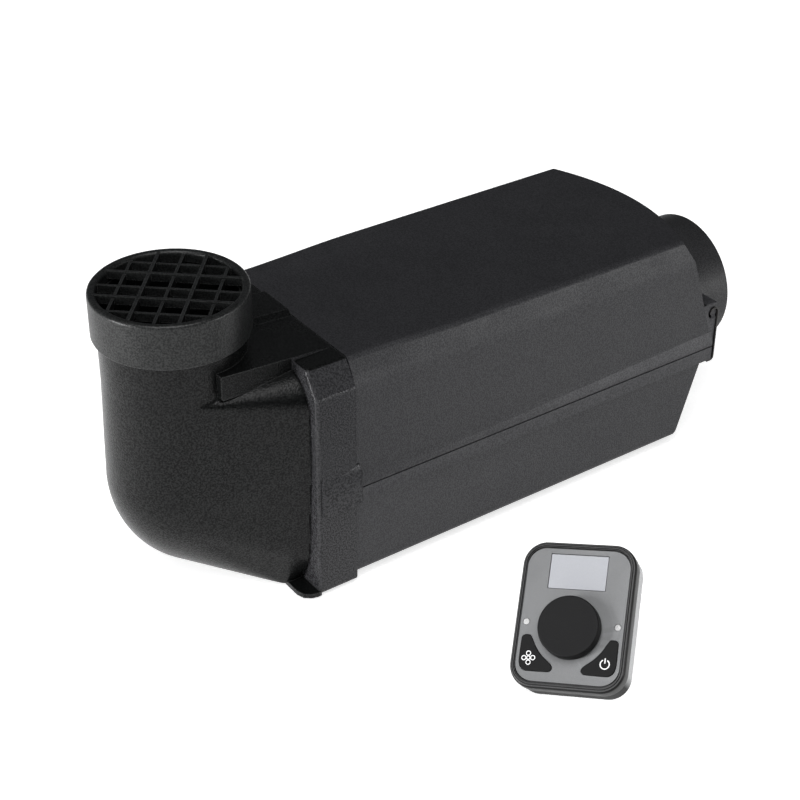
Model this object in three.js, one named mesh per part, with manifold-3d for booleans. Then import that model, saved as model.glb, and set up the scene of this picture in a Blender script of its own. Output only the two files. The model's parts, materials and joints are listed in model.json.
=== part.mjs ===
// A diesel air heater with its inlet elbow, and the controller that belongs to it.
// Units are millimetres, +Z is up. The origin is the middle of the floor gasket's underside.
// The heater lies along Y: air enters by the elbow at -Y and leaves by the nozzle at +Y.
import * as THREE from 'three';
import { mergeVertices } from 'three/addons/utils/BufferGeometryUtils.js';
import { ConvexGeometry } from 'three/addons/geometries/ConvexGeometry.js';
import Module from 'manifold-3d';

const wasm = await Module();
wasm.setup();

// ---------------------------------------------------------------- driving dimensions

const SEAT_GAP = 0.3; // clearance between pieces that seat on each other
const SMALL_SIDES = 12;
const MID_SIDES = 20;
const ROUND_SIDES = 40;

// Casing
const CASING_WIDTH = 140;
const CASING_HEIGHT = 150;
const CASING_LENGTH = 286.5; // inlet face to the outlet end at the seam
const CASING_WALL = 2.5;
const SEAM_HEIGHT = 65;
const ROOF_CHAMFER_WIDTH = 4;
const ROOF_CHAMFER_DROP = 18;
const FLOOR_CORNER = 5;
const END_BOW = 17; // how far the end wall's middle stands out past its corners
const END_ROOF_SETBACK = 35;
const END_SHOULDER_SETBACK = 23.5;
const END_SHOULDER_DROP = 16;
const END_SEAM_STEP = 5.5; // the lower end wall lies this far behind the upper one
const END_FLOOR_SETBACK = 24.5;
const END_FLOOR_CHAMFER_RISE = 6;
const END_FLOOR_CHAMFER = 3;
const LEDGE_PROUD = 2.5;
const LEDGE_RISE = 10;
const LEDGE_SLOPE = 2;
const LEDGE_DROP = 10;
const LEDGE_START = 2.6;
const LEDGE_END_SETBACK = 1.8;
const TONGUE_THICKNESS = 1.4;
const TONGUE_RISE = 3;
const TONGUE_START = 14;
const TONGUE_END_SETBACK = 40;

// Outlet nozzle
const DUCT_RADIUS = 45; // a 90 mm warm-air duct slides over the nozzle
const NOZZLE_WALL = 2.5;
const NOZZLE_STAND = 38.8; // beyond the casing's outlet end at the seam
const NOZZLE_FLANGE_WIDTH = 4.5;
const NOZZLE_FLANGE_THICKNESS = 2.5;
const NOZZLE_FLANGE_SETBACK = 12;
const AXIS_DROP = 1.8; // nozzle, burner and blower share an axis this far under the casing's middle

// Clips at the outlet end
const CLIP_WIDTH = 14;
const CLIP_STEEL = 1;
const CLIP_EDGE = 0.8; // how far the clip's outer edge stands past the casing side
const CLIP_PIVOT_HEIGHT = 89.6;
const CLIP_PIVOT_SETBACK = 1.3;
const CLIP_BEAD_RADIUS = 2.6;
const CLIP_FOOT = 5;
const LUG_HEIGHT = 11.2;
const LUG_SETBACK = 1.7;
const CORNER_BLOCK_WIDTH = 17;
const CORNER_BLOCK_DEPTH = 18;
const CLIP_RECESS_TOP = 106;
const CLIP_LEDGE_HEIGHT = 95;
const CLIP_LEDGE_THICKNESS = 2;

// Inlet elbow
const ELBOW_WALL = 3;
const BAND_LENGTH = 27.5;
const BAND_PROUD = 1;
const BAND_SKIRT = 4; // how far the band reaches below the casing floor
const BAND_CHAMFER_WIDTH = 10.5;
const BAND_CHAMFER_DROP = 15.5;
const BAND_BLOCK_PROUD = 2.5;
const BAND_BLOCK_TOP = 81;
const BAND_BLOCK_SHOULDER = 73.5;
const BAND_BLOCK_BOTTOM = 54;
const BAND_BLOCK_SETBACK = 2.5;
const BAND_BLOCK_OVERLAP = 2;
const SPIGOT_LENGTH = 8;
const SPIGOT_WALL = 2;
const HOOD_HALF_TOP = 66;
const HOOD_HALF_LOW = 62.4;
const HOOD_LOW_HEIGHT = 24;
const HOOD_HALF_KNEE = 61.2;
const HOOD_KNEE_HEIGHT = 15.5;
const HOOD_HALF_FLOOR = 50;
const HOOD_DRAFT_TOP = 90;
const HOOD_ROOF_DROP = 5;
const HOOD_ROOF_RADIUS = 24;
const FOOT_REACH = 38.5; // the elbow's two feet end this far ahead of the casing
const FOOT_HALF_INNER = 44;
const FOOT_CORNER = 6;
const FOOT_THICKNESS = 3;
const RISER_SETBACK = 77.6; // riser axis in front of the casing's inlet face
const RISER_RADIUS = 42.2;
const RISER_FOOT_RADIUS = 44.4;
const RISER_WALL = 3;
const SHOULDER_DROP = 13; // below the casing roof
const BEND_RADIUS = 62.7;
const BEND_STRETCH = 1.05;
const BEND_FLOOR = 5;
const WING_HALF = 47;
const WING_REACH = 74;
const WING_RISE = 5;
const WING_THICKNESS = 10.5;
const PAD_LEFT = -26;
const PAD_RIGHT = 0;
const PAD_HEIGHT = 2.7;
const PAD_SLOPE = 4;

// Grille cap on the riser
const CAP_RADIUS = 45.8;
const CAP_STAND = 42.7; // above the casing roof
const CAP_HEIGHT = 27.6;
const CAP_LIP_RADIUS = 40.6;
const CAP_LIP_DEPTH = 6.7;
const GRILLE_PITCH = 14.1;
const GRILLE_BARS = 5;
const GRILLE_THICK = 2.4;
const GRILLE_THIN = 1.7;
const GRILLE_DEPTH = 5;
const GRILLE_STEP = 1.5;
const GRILLE_TURN = 48.9; // degrees from the heater's own axes, as the cap was left

// Floor flange, gasket, studs and stubs
const FLANGE_CENTRE = 105; // behind the casing's inlet face
const FLANGE_HALF_WIDTH = 38;
const FLANGE_HALF_LENGTH = 52;
const FLANGE_DROP = 3.8; // below the casing floor's underside
const FLANGE_RIM = 4;
const FLANGE_RIM_THICKNESS = 5;
const FLANGE_FIT = 0.6;
const GASKET_THICKNESS = 2;
const GASKET_GAP = 0.2;
const STUD_RADIUS = 3;
const STUD_LENGTH = 32;
const STUD_GRIP = 7;
const STUD_SPACING_X = 58;
const STUD_SPACING_Y = 84;
const EXHAUST_RADIUS = 12;
const EXHAUST_OFFSET = 27;
const AIR_STUB_RADIUS = 12.5;
const AIR_STUB_OFFSET = -15;
const STUB_WALL = 2;
const STUB_DROP = 24;
const STUB_GRIP = 7;
const STUB_BEAD = 0.8;
const FUEL_RADIUS = 2.5;
const FUEL_WALL = 0.8;
const FUEL_TIP_DROP = 21; // the pipe ends this far under the burner's axis
const FUEL_SIDE = 14;
const FUEL_OFFSET = 8;

// Heat exchanger and burner
const EXCHANGER_RADIUS = 44;
const EXCHANGER_WALL = 4;
const EXCHANGER_START = 106.3;
const EXCHANGER_OUTLET_GAP = 12.5; // to the nozzle's flange
const FIN_CLEARANCE = 6;
const FIN_THICKNESS = 2;
const FIN_COUNT = 24;
const FIN_START = 134;
const FIN_END_SETBACK = 8;
const INNER_FIN_COUNT = 12;
const INNER_FIN_DEPTH = 5;
const CLAMP_RING_RADIUS = 50;
const CLAMP_RING_LENGTH = 5;
const EAR_REACH = 54.2;
const EAR_RADIUS = 5.5;
const EAR_ANGLES = [50, 180, 310];
const SCREW_RADIUS = 2;
const SCREW_HEAD_RADIUS = 3.8;
const SCREW_HEAD_HEIGHT = 3;
const BURNER_PLATE = 2.4;
const BURNER_RADIUS = 28;
const BURNER_LENGTH = 84;
const BURNER_WALL = 1.5;
const BURNER_HOLES = 6;
const BURNER_HOLE_RADIUS = 3;
const GAUZE_RADIUS = 20;
const GAUZE_LENGTH = 14;
const GAUZE_WALL = 1.2;
const PLUG_OFFSET = 12; // behind the exchanger's front face
const PLUG_TIP_RADIUS = 2.6;
const PLUG_BODY_RADIUS = 5;
const PLUG_HEX_RADIUS = 8;
const PLUG_HEX_HEIGHT = 6;
const PLUG_TERMINAL = 5;

// Blower
const SHAFT_RADIUS = 2.5;
const SHAFT_START = 10;
const SHAFT_END = 100;
const SHAFT_FIT = 0.1;
const BLOWER_BACK = 78;
const BLOWER_WALL = 3;
const BLOWER_INTAKE_RADIUS = 9;
const MOTOR_RADIUS = 26;
const MOTOR_FRONT = 40;
const MOTOR_WALL = 2.2;
const BEARING_RADIUS = 6.5;
const BEARING_WIDTH = 5;
const ARMATURE_RADIUS = 19;
const ARMATURE_LENGTH = 16;
const FAN_START = 12;
const FAN_DEPTH = 22;
const FAN_HUB_RADIUS = 21;
const FAN_TIP_CLEARANCE = 9;
const FAN_BLADES = 9;
const FAN_BLADE_THICKNESS = 2;
const IMPELLER_RADIUS = 40;
const IMPELLER_BLADES = 12;
const IMPELLER_BLADE_HEIGHT = 11;
const IMPELLER_BLADE_THICKNESS = 1.4;

// Control unit, sensor and inner leads
const UNIT_HALF_WIDTH = 44;
const UNIT_LENGTH = 62;
const UNIT_START = 40;
const UNIT_LID_HEIGHT = 2.2;
const UNIT_WALL = 2;
const UNIT_STAND = 1.5; // above the blower housing
const UNIT_ROOF_GAP = 2.1;
const SENSOR_SETBACK = 52; // ahead of the exchanger's closed end
const SENSOR_HALF_WIDTH = 7;
const SENSOR_LENGTH = 18;
const SENSOR_HEIGHT = 6;
const SENSOR_CLIP_STEEL = 0.8;
const SENSOR_CLIP_LENGTH = 8;
const LEAD_RADIUS = 1.6;
const HARNESS_RADIUS = 3.2;
const GROMMET_SIDE = -54;
const GROMMET_POSITION = 60;
const GROMMET_HOLE = 9;
const GROMMET_FLANGE = 3;
const GROMMET_BORE = 1.9;

// Controller: its own frame has X to the right, Y up the face and Z out of the face plate
const CONTROLLER_X = 213.5;
const CONTROLLER_Y = 46.7; // behind the casing's inlet face
const CONTROLLER_TURN = 21;
const CONTROLLER_TILT = 39.5;
const CONTROLLER_ROLL = 17.9; // about the face's own normal
const CONTROLLER_FLOOR_GAP = 1.6;
const BEZEL_WIDTH = 65.8;
const BEZEL_HEIGHT = 83.8;
const BEZEL_CORNER = 13.5;
const BEZEL_RIM = 2.95;
const BEZEL_PROUD = 1;
const BEZEL_DEPTH = 9.5;
const BEZEL_LIP = 1.4;
const BEZEL_WALL = 2;
const BEZEL_ROUND = 1.6;
const PLATE_THICKNESS = 1.2;
const BACK_DEPTH = 12.6;
const BACK_INSET = 0.8;
const BACK_WALL = 2;
const DISPLAY_WIDTH = 33;
const DISPLAY_HEIGHT = 19.7;
const DISPLAY_CENTRE_Y = 25;
const DISPLAY_MODULE_BORDER = 1;
const KNOB_RADIUS = 17.3;
const KNOB_CENTRE_Y = -7.6;
const KNOB_HEIGHT = 5.9;
const KNOB_CHAMFER = 0.9;
const KNOB_LIFT = 1.1;
const KNOB_WALL = 2;
const KNOB_HUB_RADIUS = 5.5;
const ENCODER_SHAFT_RADIUS = 3;
const ENCODER_HALF = 6.5;
const ENCODER_DRUM_RADIUS = 4.8;
const BUTTON_ARC_RADIUS = 21.9;
const BUTTON_HALF_SPAN = 27.7;
const BUTTON_TOP = -12.2;
const BUTTON_BOTTOM = -32.5;
const BUTTON_ROUND = 2;
const BUTTON_PROUD = 0.6;
const BUTTON_DEPTH = 3;
const BUTTON_TRAVEL_ROOM = 0.6;
const LENS_RADIUS = 1.8;
const LENS_SIDE = 26.2;
const LENS_Y = -4.9;
const BOARD_THICKNESS = 1.6;
const BOARD_BACK = 12;
const BACK_SCREW_X = 21;
const BACK_SCREW_Y = 35.6;
const BACK_SCREW_RADIUS = 1.2;
const BRACKET_HALF_WIDTH = 18;
const BRACKET_WALL = 2.4;
const BRACKET_BASE_LENGTH = 44;
const BRACKET_LOW = -20;
const BRACKET_HIGH = 22;
const BRACKET_HOLE_RADIUS = 2.25;
const BRACKET_HOLE_SIDE = 9;

// Heights and places that follow from the above
const HALF = CASING_WIDTH / 2;
const AXIS_HEIGHT = CASING_HEIGHT / 2 - AXIS_DROP;
const NOZZLE_REACH = CASING_LENGTH + NOZZLE_STAND;
const SHOULDER_HEIGHT = CASING_HEIGHT - SHOULDER_DROP;
const WING_BOTTOM = CASING_HEIGHT - WING_THICKNESS;
const CAP_TOP = CASING_HEIGHT + CAP_STAND;
const EXCHANGER_END = CASING_LENGTH - NOZZLE_FLANGE_SETBACK - EXCHANGER_OUTLET_GAP;
const UNIT_SEAT_HEIGHT = AXIS_HEIGHT + CLAMP_RING_RADIUS + UNIT_STAND;
const UNIT_LID_UNDERSIDE = CASING_HEIGHT - CASING_WALL - UNIT_ROOF_GAP - UNIT_LID_HEIGHT;
const INNER_HALF = HALF - CASING_WALL;
const CASING_LIFT = FLANGE_DROP + GASKET_GAP + GASKET_THICKNESS;
const CAP_SKIRT_RADIUS = RISER_RADIUS + SEAT_GAP + 0.1;
const RISER_TOP = CAP_TOP - CAP_LIP_DEPTH - SEAT_GAP;
const NOZZLE_HOLE = DUCT_RADIUS + SEAT_GAP;
const CLIP_PIVOT_Y = CASING_LENGTH - CLIP_PIVOT_SETBACK;
const CLIP_INNER_RADIUS = CLIP_BEAD_RADIUS + 0.4;
const CLIP_OUTER_RADIUS = CLIP_INNER_RADIUS + CLIP_STEEL;
const BLOWER_OPEN = EXCHANGER_START - BURNER_PLATE - 2 * SEAT_GAP;
const BURNER_PLATE_BACK = EXCHANGER_START - SEAT_GAP;
const FIN_RADIUS = INNER_HALF - FIN_CLEARANCE;
const FAN_RADIUS = INNER_HALF - FAN_TIP_CLEARANCE;
const FLANGE_UNDERSIDE = -FLANGE_DROP;
const FLANGE_RIM_TOP = CASING_WALL + SEAT_GAP + FLANGE_RIM_THICKNESS;
const EXHAUST_Y = FLANGE_CENTRE + EXHAUST_OFFSET;
const AIR_STUB_Y = FLANGE_CENTRE + AIR_STUB_OFFSET;
const FUEL_Y = FLANGE_CENTRE + FUEL_OFFSET;
const PLUG_Y = EXCHANGER_START + PLUG_OFFSET;
const PLUG_SEAT = AXIS_HEIGHT + CLAMP_RING_RADIUS + 0.5;
const SENSOR_Y = EXCHANGER_END - SENSOR_SETBACK;
const SENSOR_SEAT = AXIS_HEIGHT + EXCHANGER_RADIUS + 0.5;
const MOTOR_BACK = BLOWER_BACK - SEAT_GAP;
const UNIT_TOP = UNIT_LID_UNDERSIDE - 0.2;
const PLATE_WIDTH = BEZEL_WIDTH - 2 * (BEZEL_RIM + SEAT_GAP);
const PLATE_HEIGHT = BEZEL_HEIGHT - 2 * (BEZEL_RIM + 1);
const PLATE_CORNER = BEZEL_CORNER - BEZEL_RIM;
const BACK_FLOOR = -BEZEL_DEPTH - SEAT_GAP - BACK_DEPTH;
const BOARD_FRONT = BOARD_THICKNESS - BOARD_BACK;
const SWITCH_TOP = -BUTTON_DEPTH - BUTTON_TRAVEL_ROOM;

// ---------------------------------------------------------------- solids

const radians = THREE.MathUtils.degToRad;

/** A closed solid from a three.js geometry: shared corners merged, faces turned outwards. */
function solid(geometry) {
  const bare = geometry.clone();
  bare.deleteAttribute('normal');
  bare.deleteAttribute('uv');
  const merged = mergeVertices(bare, 1e-4);
  const points = merged.attributes.position.array;
  const corners = merged.index.array;
  const triangles = [];
  let volume = 0;
  for (let i = 0; i < corners.length; i += 3) {
    const [a, b, c] = [corners[i], corners[i + 1], corners[i + 2]];
    if (a === b || b === c || a === c) continue;
    triangles.push(a, b, c);
    const [p, q, r] = [a, b, c].map((n) => new THREE.Vector3().fromArray(points, 3 * n));
    volume += p.dot(q.cross(r));
  }
  if (volume < 0) triangles.reverse();
  return new wasm.Manifold(new wasm.Mesh({
    numProp: 3,
    vertProperties: new Float32Array(points),
    triVerts: new Uint32Array(triangles),
  }));
}

const join = (...parts) => parts.reduce((whole, part) => whole.add(part));
const cut = (base, ...tools) => tools.reduce((whole, tool) => whole.subtract(tool), base);
const common = (...parts) => parts.reduce((whole, part) => whole.intersect(part));

function box(x0, x1, y0, y1, z0, z1) {
  const geometry = new THREE.BoxGeometry(x1 - x0, y1 - y0, z1 - z0);
  return solid(geometry.translate((x0 + x1) / 2, (y0 + y1) / 2, (z0 + z1) / 2));
}

/** Turns a geometry made around Y so that its axis runs along x, y or z, then places it. */
function aligned(geometry, axis, x, y, z) {
  if (axis === 'x') geometry.rotateZ(-Math.PI / 2);
  if (axis === 'z') geometry.rotateX(Math.PI / 2);
  return geometry.translate(x, y, z);
}

/** A round rod along an axis from one coordinate to another; place gives the other two. */
function rod(axis, radius, from, to, place, sides = MID_SIDES) {
  const middle = (from + to) / 2;
  const geometry = new THREE.CylinderGeometry(radius, radius, to - from, sides);
  const [u, v] = place;
  const at = { x: [middle, u, v], y: [u, middle, v], z: [u, v, middle] }[axis];
  return solid(aligned(geometry, axis, ...at));
}

/** A turned piece: profile is a list of [radius, distance along the axis]. */
function turned(profile, axis, place, sides = MID_SIDES) {
  const points = profile.map(([radius, along]) => new THREE.Vector2(radius, along));
  const open = profile[0][0] > 0 || profile[profile.length - 1][0] > 0;
  if (open) points.push(points[0].clone());
  const geometry = new THREE.LatheGeometry(points, sides);
  const [u, v] = place;
  const at = { x: [0, u, v], y: [u, 0, v], z: [u, v, 0] }[axis];
  return solid(aligned(geometry, axis, ...at));
}

function outline(points) {
  return new THREE.Shape(points.map(([u, v]) => new THREE.Vector2(u, v)));
}

/** Extrudes a shape drawn in (Y, Z) along X, drawn in (X, Z) along Y or drawn in (X, Y) along Z. */
function extrusion(shape, axis, from, to, steps = 1, curveSegments = 6) {
  const options = { depth: to - from, steps, curveSegments, bevelEnabled: false };
  const geometry = new THREE.ExtrudeGeometry(shape, options);
  const across = { x: [0, 1, 0], y: [1, 0, 0], z: [1, 0, 0] }[axis];
  const up = { x: [0, 0, 1], y: [0, 0, 1], z: [0, 1, 0] }[axis];
  const along = { x: [1, 0, 0], y: [0, -1, 0], z: [0, 0, 1] }[axis];
  const basis = new THREE.Matrix4().makeBasis(
    new THREE.Vector3(...across),
    new THREE.Vector3(...up),
    new THREE.Vector3(...along),
  );
  geometry.applyMatrix4(basis);
  const start = { x: [from, 0, 0], y: [0, to, 0], z: [0, 0, from] }[axis];
  return geometry.translate(...start);
}

const prism = (...args) => solid(extrusion(...args));

function roundedRectangle(width, height, radius, centreX = 0, centreY = 0) {
  const [w, h] = [width / 2 - radius, height / 2 - radius];
  const shape = new THREE.Shape();
  shape.absarc(centreX + w, centreY - h, radius, -Math.PI / 2, 0);
  shape.absarc(centreX + w, centreY + h, radius, 0, Math.PI / 2);
  shape.absarc(centreX - w, centreY + h, radius, Math.PI / 2, Math.PI);
  shape.absarc(centreX - w, centreY - h, radius, Math.PI, 1.5 * Math.PI);
  return shape;
}

/** A tube along a smooth curve through the given points. */
function lead(points, radius, sides = 8, steps = 24) {
  const curve = new THREE.CatmullRomCurve3(points.map((p) => new THREE.Vector3(...p)));
  const circle = new THREE.Shape().absarc(0, 0, radius, 0, 2 * Math.PI);
  const options = { steps, extrudePath: curve, curveSegments: sides / 2 };
  return solid(new THREE.ExtrudeGeometry(circle, options));
}

const mirrored = (part) => part.mirror([1, 0, 0]);

// ---------------------------------------------------------------- the scene graph

const diesel_air_heater = new THREE.Group();
const heater = new THREE.Group(); // origin on the casing's inlet face, at the floor's underside
heater.position.set(0, -FLANGE_CENTRE, CASING_LIFT);
const controller = new THREE.Group();
diesel_air_heater.add(heater, controller);

const finish = {
  casing: [0x2c2c2e, 0.75, 0],
  elbow: [0x2a2b2b, 0.85, 0],
  cap: [0x303131, 0.85, 0],
  aluminium: [0xa7a9ab, 0.45, 0.9],
  steel: [0x8a8c8f, 0.4, 1],
  dark_steel: [0x3b3a38, 0.5, 0.8],
  brass: [0xb08d4a, 0.4, 0.9],
  rubber: [0x151515, 0.9, 0],
  gasket: [0x55534e, 0.95, 0],
  fan: [0x1d1e20, 0.6, 0],
  lead: [0x101012, 0.7, 0],
  bezel: [0x2b2b2d, 0.35, 0],
  face: [0x8c8e90, 0.45, 0.6],
  grey: [0x9b9c9e, 0.5, 0.1],
  glass: [0xc4c6ce, 0.15, 0],
  board: [0x1f4a33, 0.6, 0],
  lens: [0xdcdcdc, 0.3, 0],
};

function add(group, name, part, look) {
  const { vertProperties, triVerts } = part.getMesh();
  const geometry = new THREE.BufferGeometry();
  geometry.setAttribute('position', new THREE.BufferAttribute(vertProperties, 3));
  geometry.setIndex(new THREE.BufferAttribute(triVerts, 1));
  geometry.computeVertexNormals();
  const [color, roughness, metalness] = finish[look];
  const material = new THREE.MeshStandardMaterial({ color, roughness, metalness });
  const mesh = new THREE.Mesh(geometry, material);
  mesh.name = name;
  group.add(mesh);
  return mesh;
}

// ---------------------------------------------------------------- casing

/** Cross-section of the casing in (X, Z); inset moves every face inwards. */
function casingSection(inset) {
  const half = HALF - inset;
  const roof = CASING_HEIGHT - inset;
  const corner = FLOOR_CORNER - inset;
  const shape = new THREE.Shape();
  shape.absarc(half - corner, inset + corner, corner, -Math.PI / 2, 0);
  shape.lineTo(half, CASING_HEIGHT - ROOF_CHAMFER_DROP);
  shape.lineTo(half - ROOF_CHAMFER_WIDTH, roof);
  shape.lineTo(-half + ROOF_CHAMFER_WIDTH, roof);
  shape.lineTo(-half, CASING_HEIGHT - ROOF_CHAMFER_DROP);
  shape.absarc(-half + corner, inset + corner, corner, Math.PI, 1.5 * Math.PI);
  return shape;
}

const endSlope = (END_SHOULDER_SETBACK) / (CASING_HEIGHT - END_SHOULDER_DROP - SEAM_HEIGHT);

/** Bows the outlet end of a solid drawn in (Y, Z): its middle stands out by END_BOW. */
function bowedEnd(points) {
  const reach = HALF + LEDGE_PROUD + 5;
  const geometry = extrusion(outline(points), 'x', -reach, reach, 14);
  const position = geometry.attributes.position;
  for (let i = 0; i < position.count; i += 1) {
    if (position.getY(i) < CASING_LENGTH / 2) continue;
    const bow = END_BOW * (1 - (position.getX(i) / HALF) ** 2);
    position.setY(i, position.getY(i) + bow);
  }
  return solid(geometry);
}

function upperEnd(inset, from) {
  const low = SEAM_HEIGHT - 20;
  const top = CASING_HEIGHT + 5;
  const end = CASING_LENGTH - inset;
  return bowedEnd([
    [from, low],
    [end + 20 * endSlope, low],
    [end - END_SHOULDER_SETBACK, CASING_HEIGHT - END_SHOULDER_DROP],
    [end - END_ROOF_SETBACK, CASING_HEIGHT],
    [end - END_ROOF_SETBACK, top],
    [from, top],
  ]);
}

function lowerEnd(inset, from) {
  const end = CASING_LENGTH - END_SEAM_STEP - inset;
  const high = SEAM_HEIGHT + 20;
  const floor = CASING_LENGTH - END_FLOOR_SETBACK - inset;
  const slope = (end - floor) / (SEAM_HEIGHT - END_FLOOR_CHAMFER_RISE);
  return bowedEnd([
    [from, -5],
    [floor - END_FLOOR_CHAMFER, -5],
    [floor - END_FLOOR_CHAMFER, 0],
    [floor, END_FLOOR_CHAMFER_RISE],
    [end + 20 * slope, high],
    [from, high],
  ]);
}

const beyond = CASING_LENGTH + END_BOW + 40;
const everywhere = 400;

function casingSolid(inset, from, endOf) {
  const section = prism(casingSection(inset), 'y', from, beyond);
  return common(section, endOf(inset, from - 1));
}

/** The proud ledge along one side, above or below the seam. */
function ledge(side, zNear, zFar, slope) {
  const inner = HALF - 1;
  const outer = HALF + LEDGE_PROUD;
  const tip = zFar + (zFar > zNear ? -slope : 0);
  const points = [[inner, zNear], [outer, zNear], [outer, tip], [HALF, zFar], [inner, zFar]];
  const bar = prism(outline(points), 'y', LEDGE_START, CASING_LENGTH - LEDGE_END_SETBACK);
  return side > 0 ? bar : mirrored(bar);
}

function tongue(grow) {
  const x0 = INNER_HALF + SEAT_GAP - grow;
  const x1 = x0 + TONGUE_THICKNESS + 2 * grow;
  const y0 = TONGUE_START - grow;
  const y1 = CASING_LENGTH - TONGUE_END_SETBACK + grow;
  const bar = box(x0, x1, y0, y1, SEAM_HEIGHT - 3, SEAM_HEIGHT + TONGUE_RISE + grow);
  return join(bar, mirrored(bar));
}

const nozzleHole = () => rod(
  'y', NOZZLE_HOLE, CASING_LENGTH - 2 * END_ROOF_SETBACK, beyond, [0, AXIS_HEIGHT], ROUND_SIDES,
);

/** Solid corner that carries a clip, in the upper shell. */
function upperCorner(envelope) {
  const inside = HALF - CORNER_BLOCK_WIDTH;
  const block = box(
    inside, HALF, CASING_LENGTH - CORNER_BLOCK_DEPTH, beyond,
    SEAM_HEIGHT + SEAT_GAP / 2, CLIP_RECESS_TOP + CASING_WALL,
  );
  return common(block, envelope);
}

const clipInside = HALF + CLIP_EDGE - CLIP_WIDTH - 1;
const clipFace = CLIP_PIVOT_Y + CLIP_INNER_RADIUS - 0.4;

function upperClipRoom() {
  const outside = HALF + LEDGE_PROUD + 1;
  const padTop = CLIP_PIVOT_HEIGHT - CLIP_OUTER_RADIUS - 0.5;
  const recessBack = CLIP_PIVOT_Y - CLIP_OUTER_RADIUS - 2;
  return join(
    box(clipInside, outside, clipFace, beyond, SEAM_HEIGHT - 1, CLIP_RECESS_TOP),
    box(clipInside, outside, recessBack, beyond, padTop, CLIP_RECESS_TOP),
  );
}

/** The bead that the clip hangs on, its web, and the ledge above it. */
function clipBead() {
  const x0 = clipInside - 1;
  const x1 = HALF - 0.5;
  const webDepth = 3;
  const padTop = CLIP_PIVOT_HEIGHT - CLIP_OUTER_RADIUS - 1;
  const bead = rod('x', CLIP_BEAD_RADIUS, x0, x1, [CLIP_PIVOT_Y, CLIP_PIVOT_HEIGHT], SMALL_SIDES);
  const web = box(x0, x1, CLIP_PIVOT_Y - 1.2, CLIP_PIVOT_Y - 1.2 + webDepth, padTop, CLIP_PIVOT_HEIGHT);
  const shelf = box(
    x0, x1, CLIP_PIVOT_Y - CLIP_OUTER_RADIUS - 3, CLIP_PIVOT_Y + 1,
    CLIP_LEDGE_HEIGHT, CLIP_LEDGE_HEIGHT + CLIP_LEDGE_THICKNESS,
  );
  return join(bead, web, shelf);
}

function upperCasing() {
  const outer = casingSolid(0, 0, upperEnd);
  const inner = casingSolid(CASING_WALL, -1, upperEnd);
  const above = box(-everywhere, everywhere, -1, everywhere, SEAM_HEIGHT + SEAT_GAP / 2, everywhere);
  const corner = upperCorner(outer);
  const ledgeFoot = SEAM_HEIGHT + SEAT_GAP / 2;
  let shell = common(cut(outer, inner), above);
  for (const side of [1, -1]) {
    const put = side > 0 ? (part) => part : mirrored;
    shell = join(shell, put(corner), ledge(side, ledgeFoot, SEAM_HEIGHT + LEDGE_RISE, LEDGE_SLOPE));
    shell = cut(shell, put(upperClipRoom()));
    shell = join(shell, put(clipBead()));
  }
  return cut(shell, nozzleHole(), tongue(SEAT_GAP));
}

function lowerCorner(envelope) {
  const inside = HALF - CORNER_BLOCK_WIDTH;
  const bottom = SEAM_HEIGHT - SEAT_GAP / 2 - LUG_HEIGHT;
  const top = SEAM_HEIGHT - SEAT_GAP / 2;
  const start = CASING_LENGTH - CORNER_BLOCK_DEPTH;
  const room = HALF - 0.2;
  return join(
    common(box(inside, HALF, start, beyond, bottom, top), envelope),
    box(inside, room, CASING_LENGTH - CORNER_BLOCK_DEPTH / 2, CASING_LENGTH - LUG_SETBACK, bottom, top),
  );
}

function flangeBlock(grow, z0, z1) {
  return box(
    -FLANGE_HALF_WIDTH - grow, FLANGE_HALF_WIDTH + grow,
    FLANGE_CENTRE - FLANGE_HALF_LENGTH - grow, FLANGE_CENTRE + FLANGE_HALF_LENGTH + grow,
    z0, z1,
  );
}

function lowerCasing() {
  const outer = casingSolid(0, 0, lowerEnd);
  const inner = casingSolid(CASING_WALL, -1, lowerEnd);
  const top = SEAM_HEIGHT - SEAT_GAP / 2;
  const below = box(-everywhere, everywhere, -1, everywhere, -everywhere, top);
  const corner = lowerCorner(outer);
  const trim = box(clipInside, everywhere, CASING_LENGTH - LUG_SETBACK, beyond, 0, SEAM_HEIGHT);
  let shell = common(cut(outer, inner), below);
  for (const side of [1, -1]) {
    const put = side > 0 ? (part) => part : mirrored;
    shell = join(shell, put(corner), ledge(side, top, SEAM_HEIGHT - LEDGE_DROP, 0));
    shell = cut(shell, put(trim));
  }
  shell = join(shell, tongue(0));
  const grommetHole = rod(
    'z', GROMMET_HOLE, -1, CASING_WALL + 1, [GROMMET_SIDE, GROMMET_POSITION], MID_SIDES,
  );
  return cut(shell, nozzleHole(), flangeBlock(FLANGE_FIT, -1, CASING_WALL + 1), grommetHole);
}

function outletNozzle() {
  const flangeY = CASING_LENGTH - NOZZLE_FLANGE_SETBACK;
  const inner = DUCT_RADIUS - NOZZLE_WALL;
  return turned([
    [inner, flangeY],
    [DUCT_RADIUS + NOZZLE_FLANGE_WIDTH, flangeY],
    [DUCT_RADIUS + NOZZLE_FLANGE_WIDTH, flangeY + NOZZLE_FLANGE_THICKNESS],
    [DUCT_RADIUS, flangeY + NOZZLE_FLANGE_THICKNESS],
    [DUCT_RADIUS, NOZZLE_REACH - 1],
    [DUCT_RADIUS - 1, NOZZLE_REACH],
    [inner, NOZZLE_REACH],
  ], 'y', [0, AXIS_HEIGHT], ROUND_SIDES);
}

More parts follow.
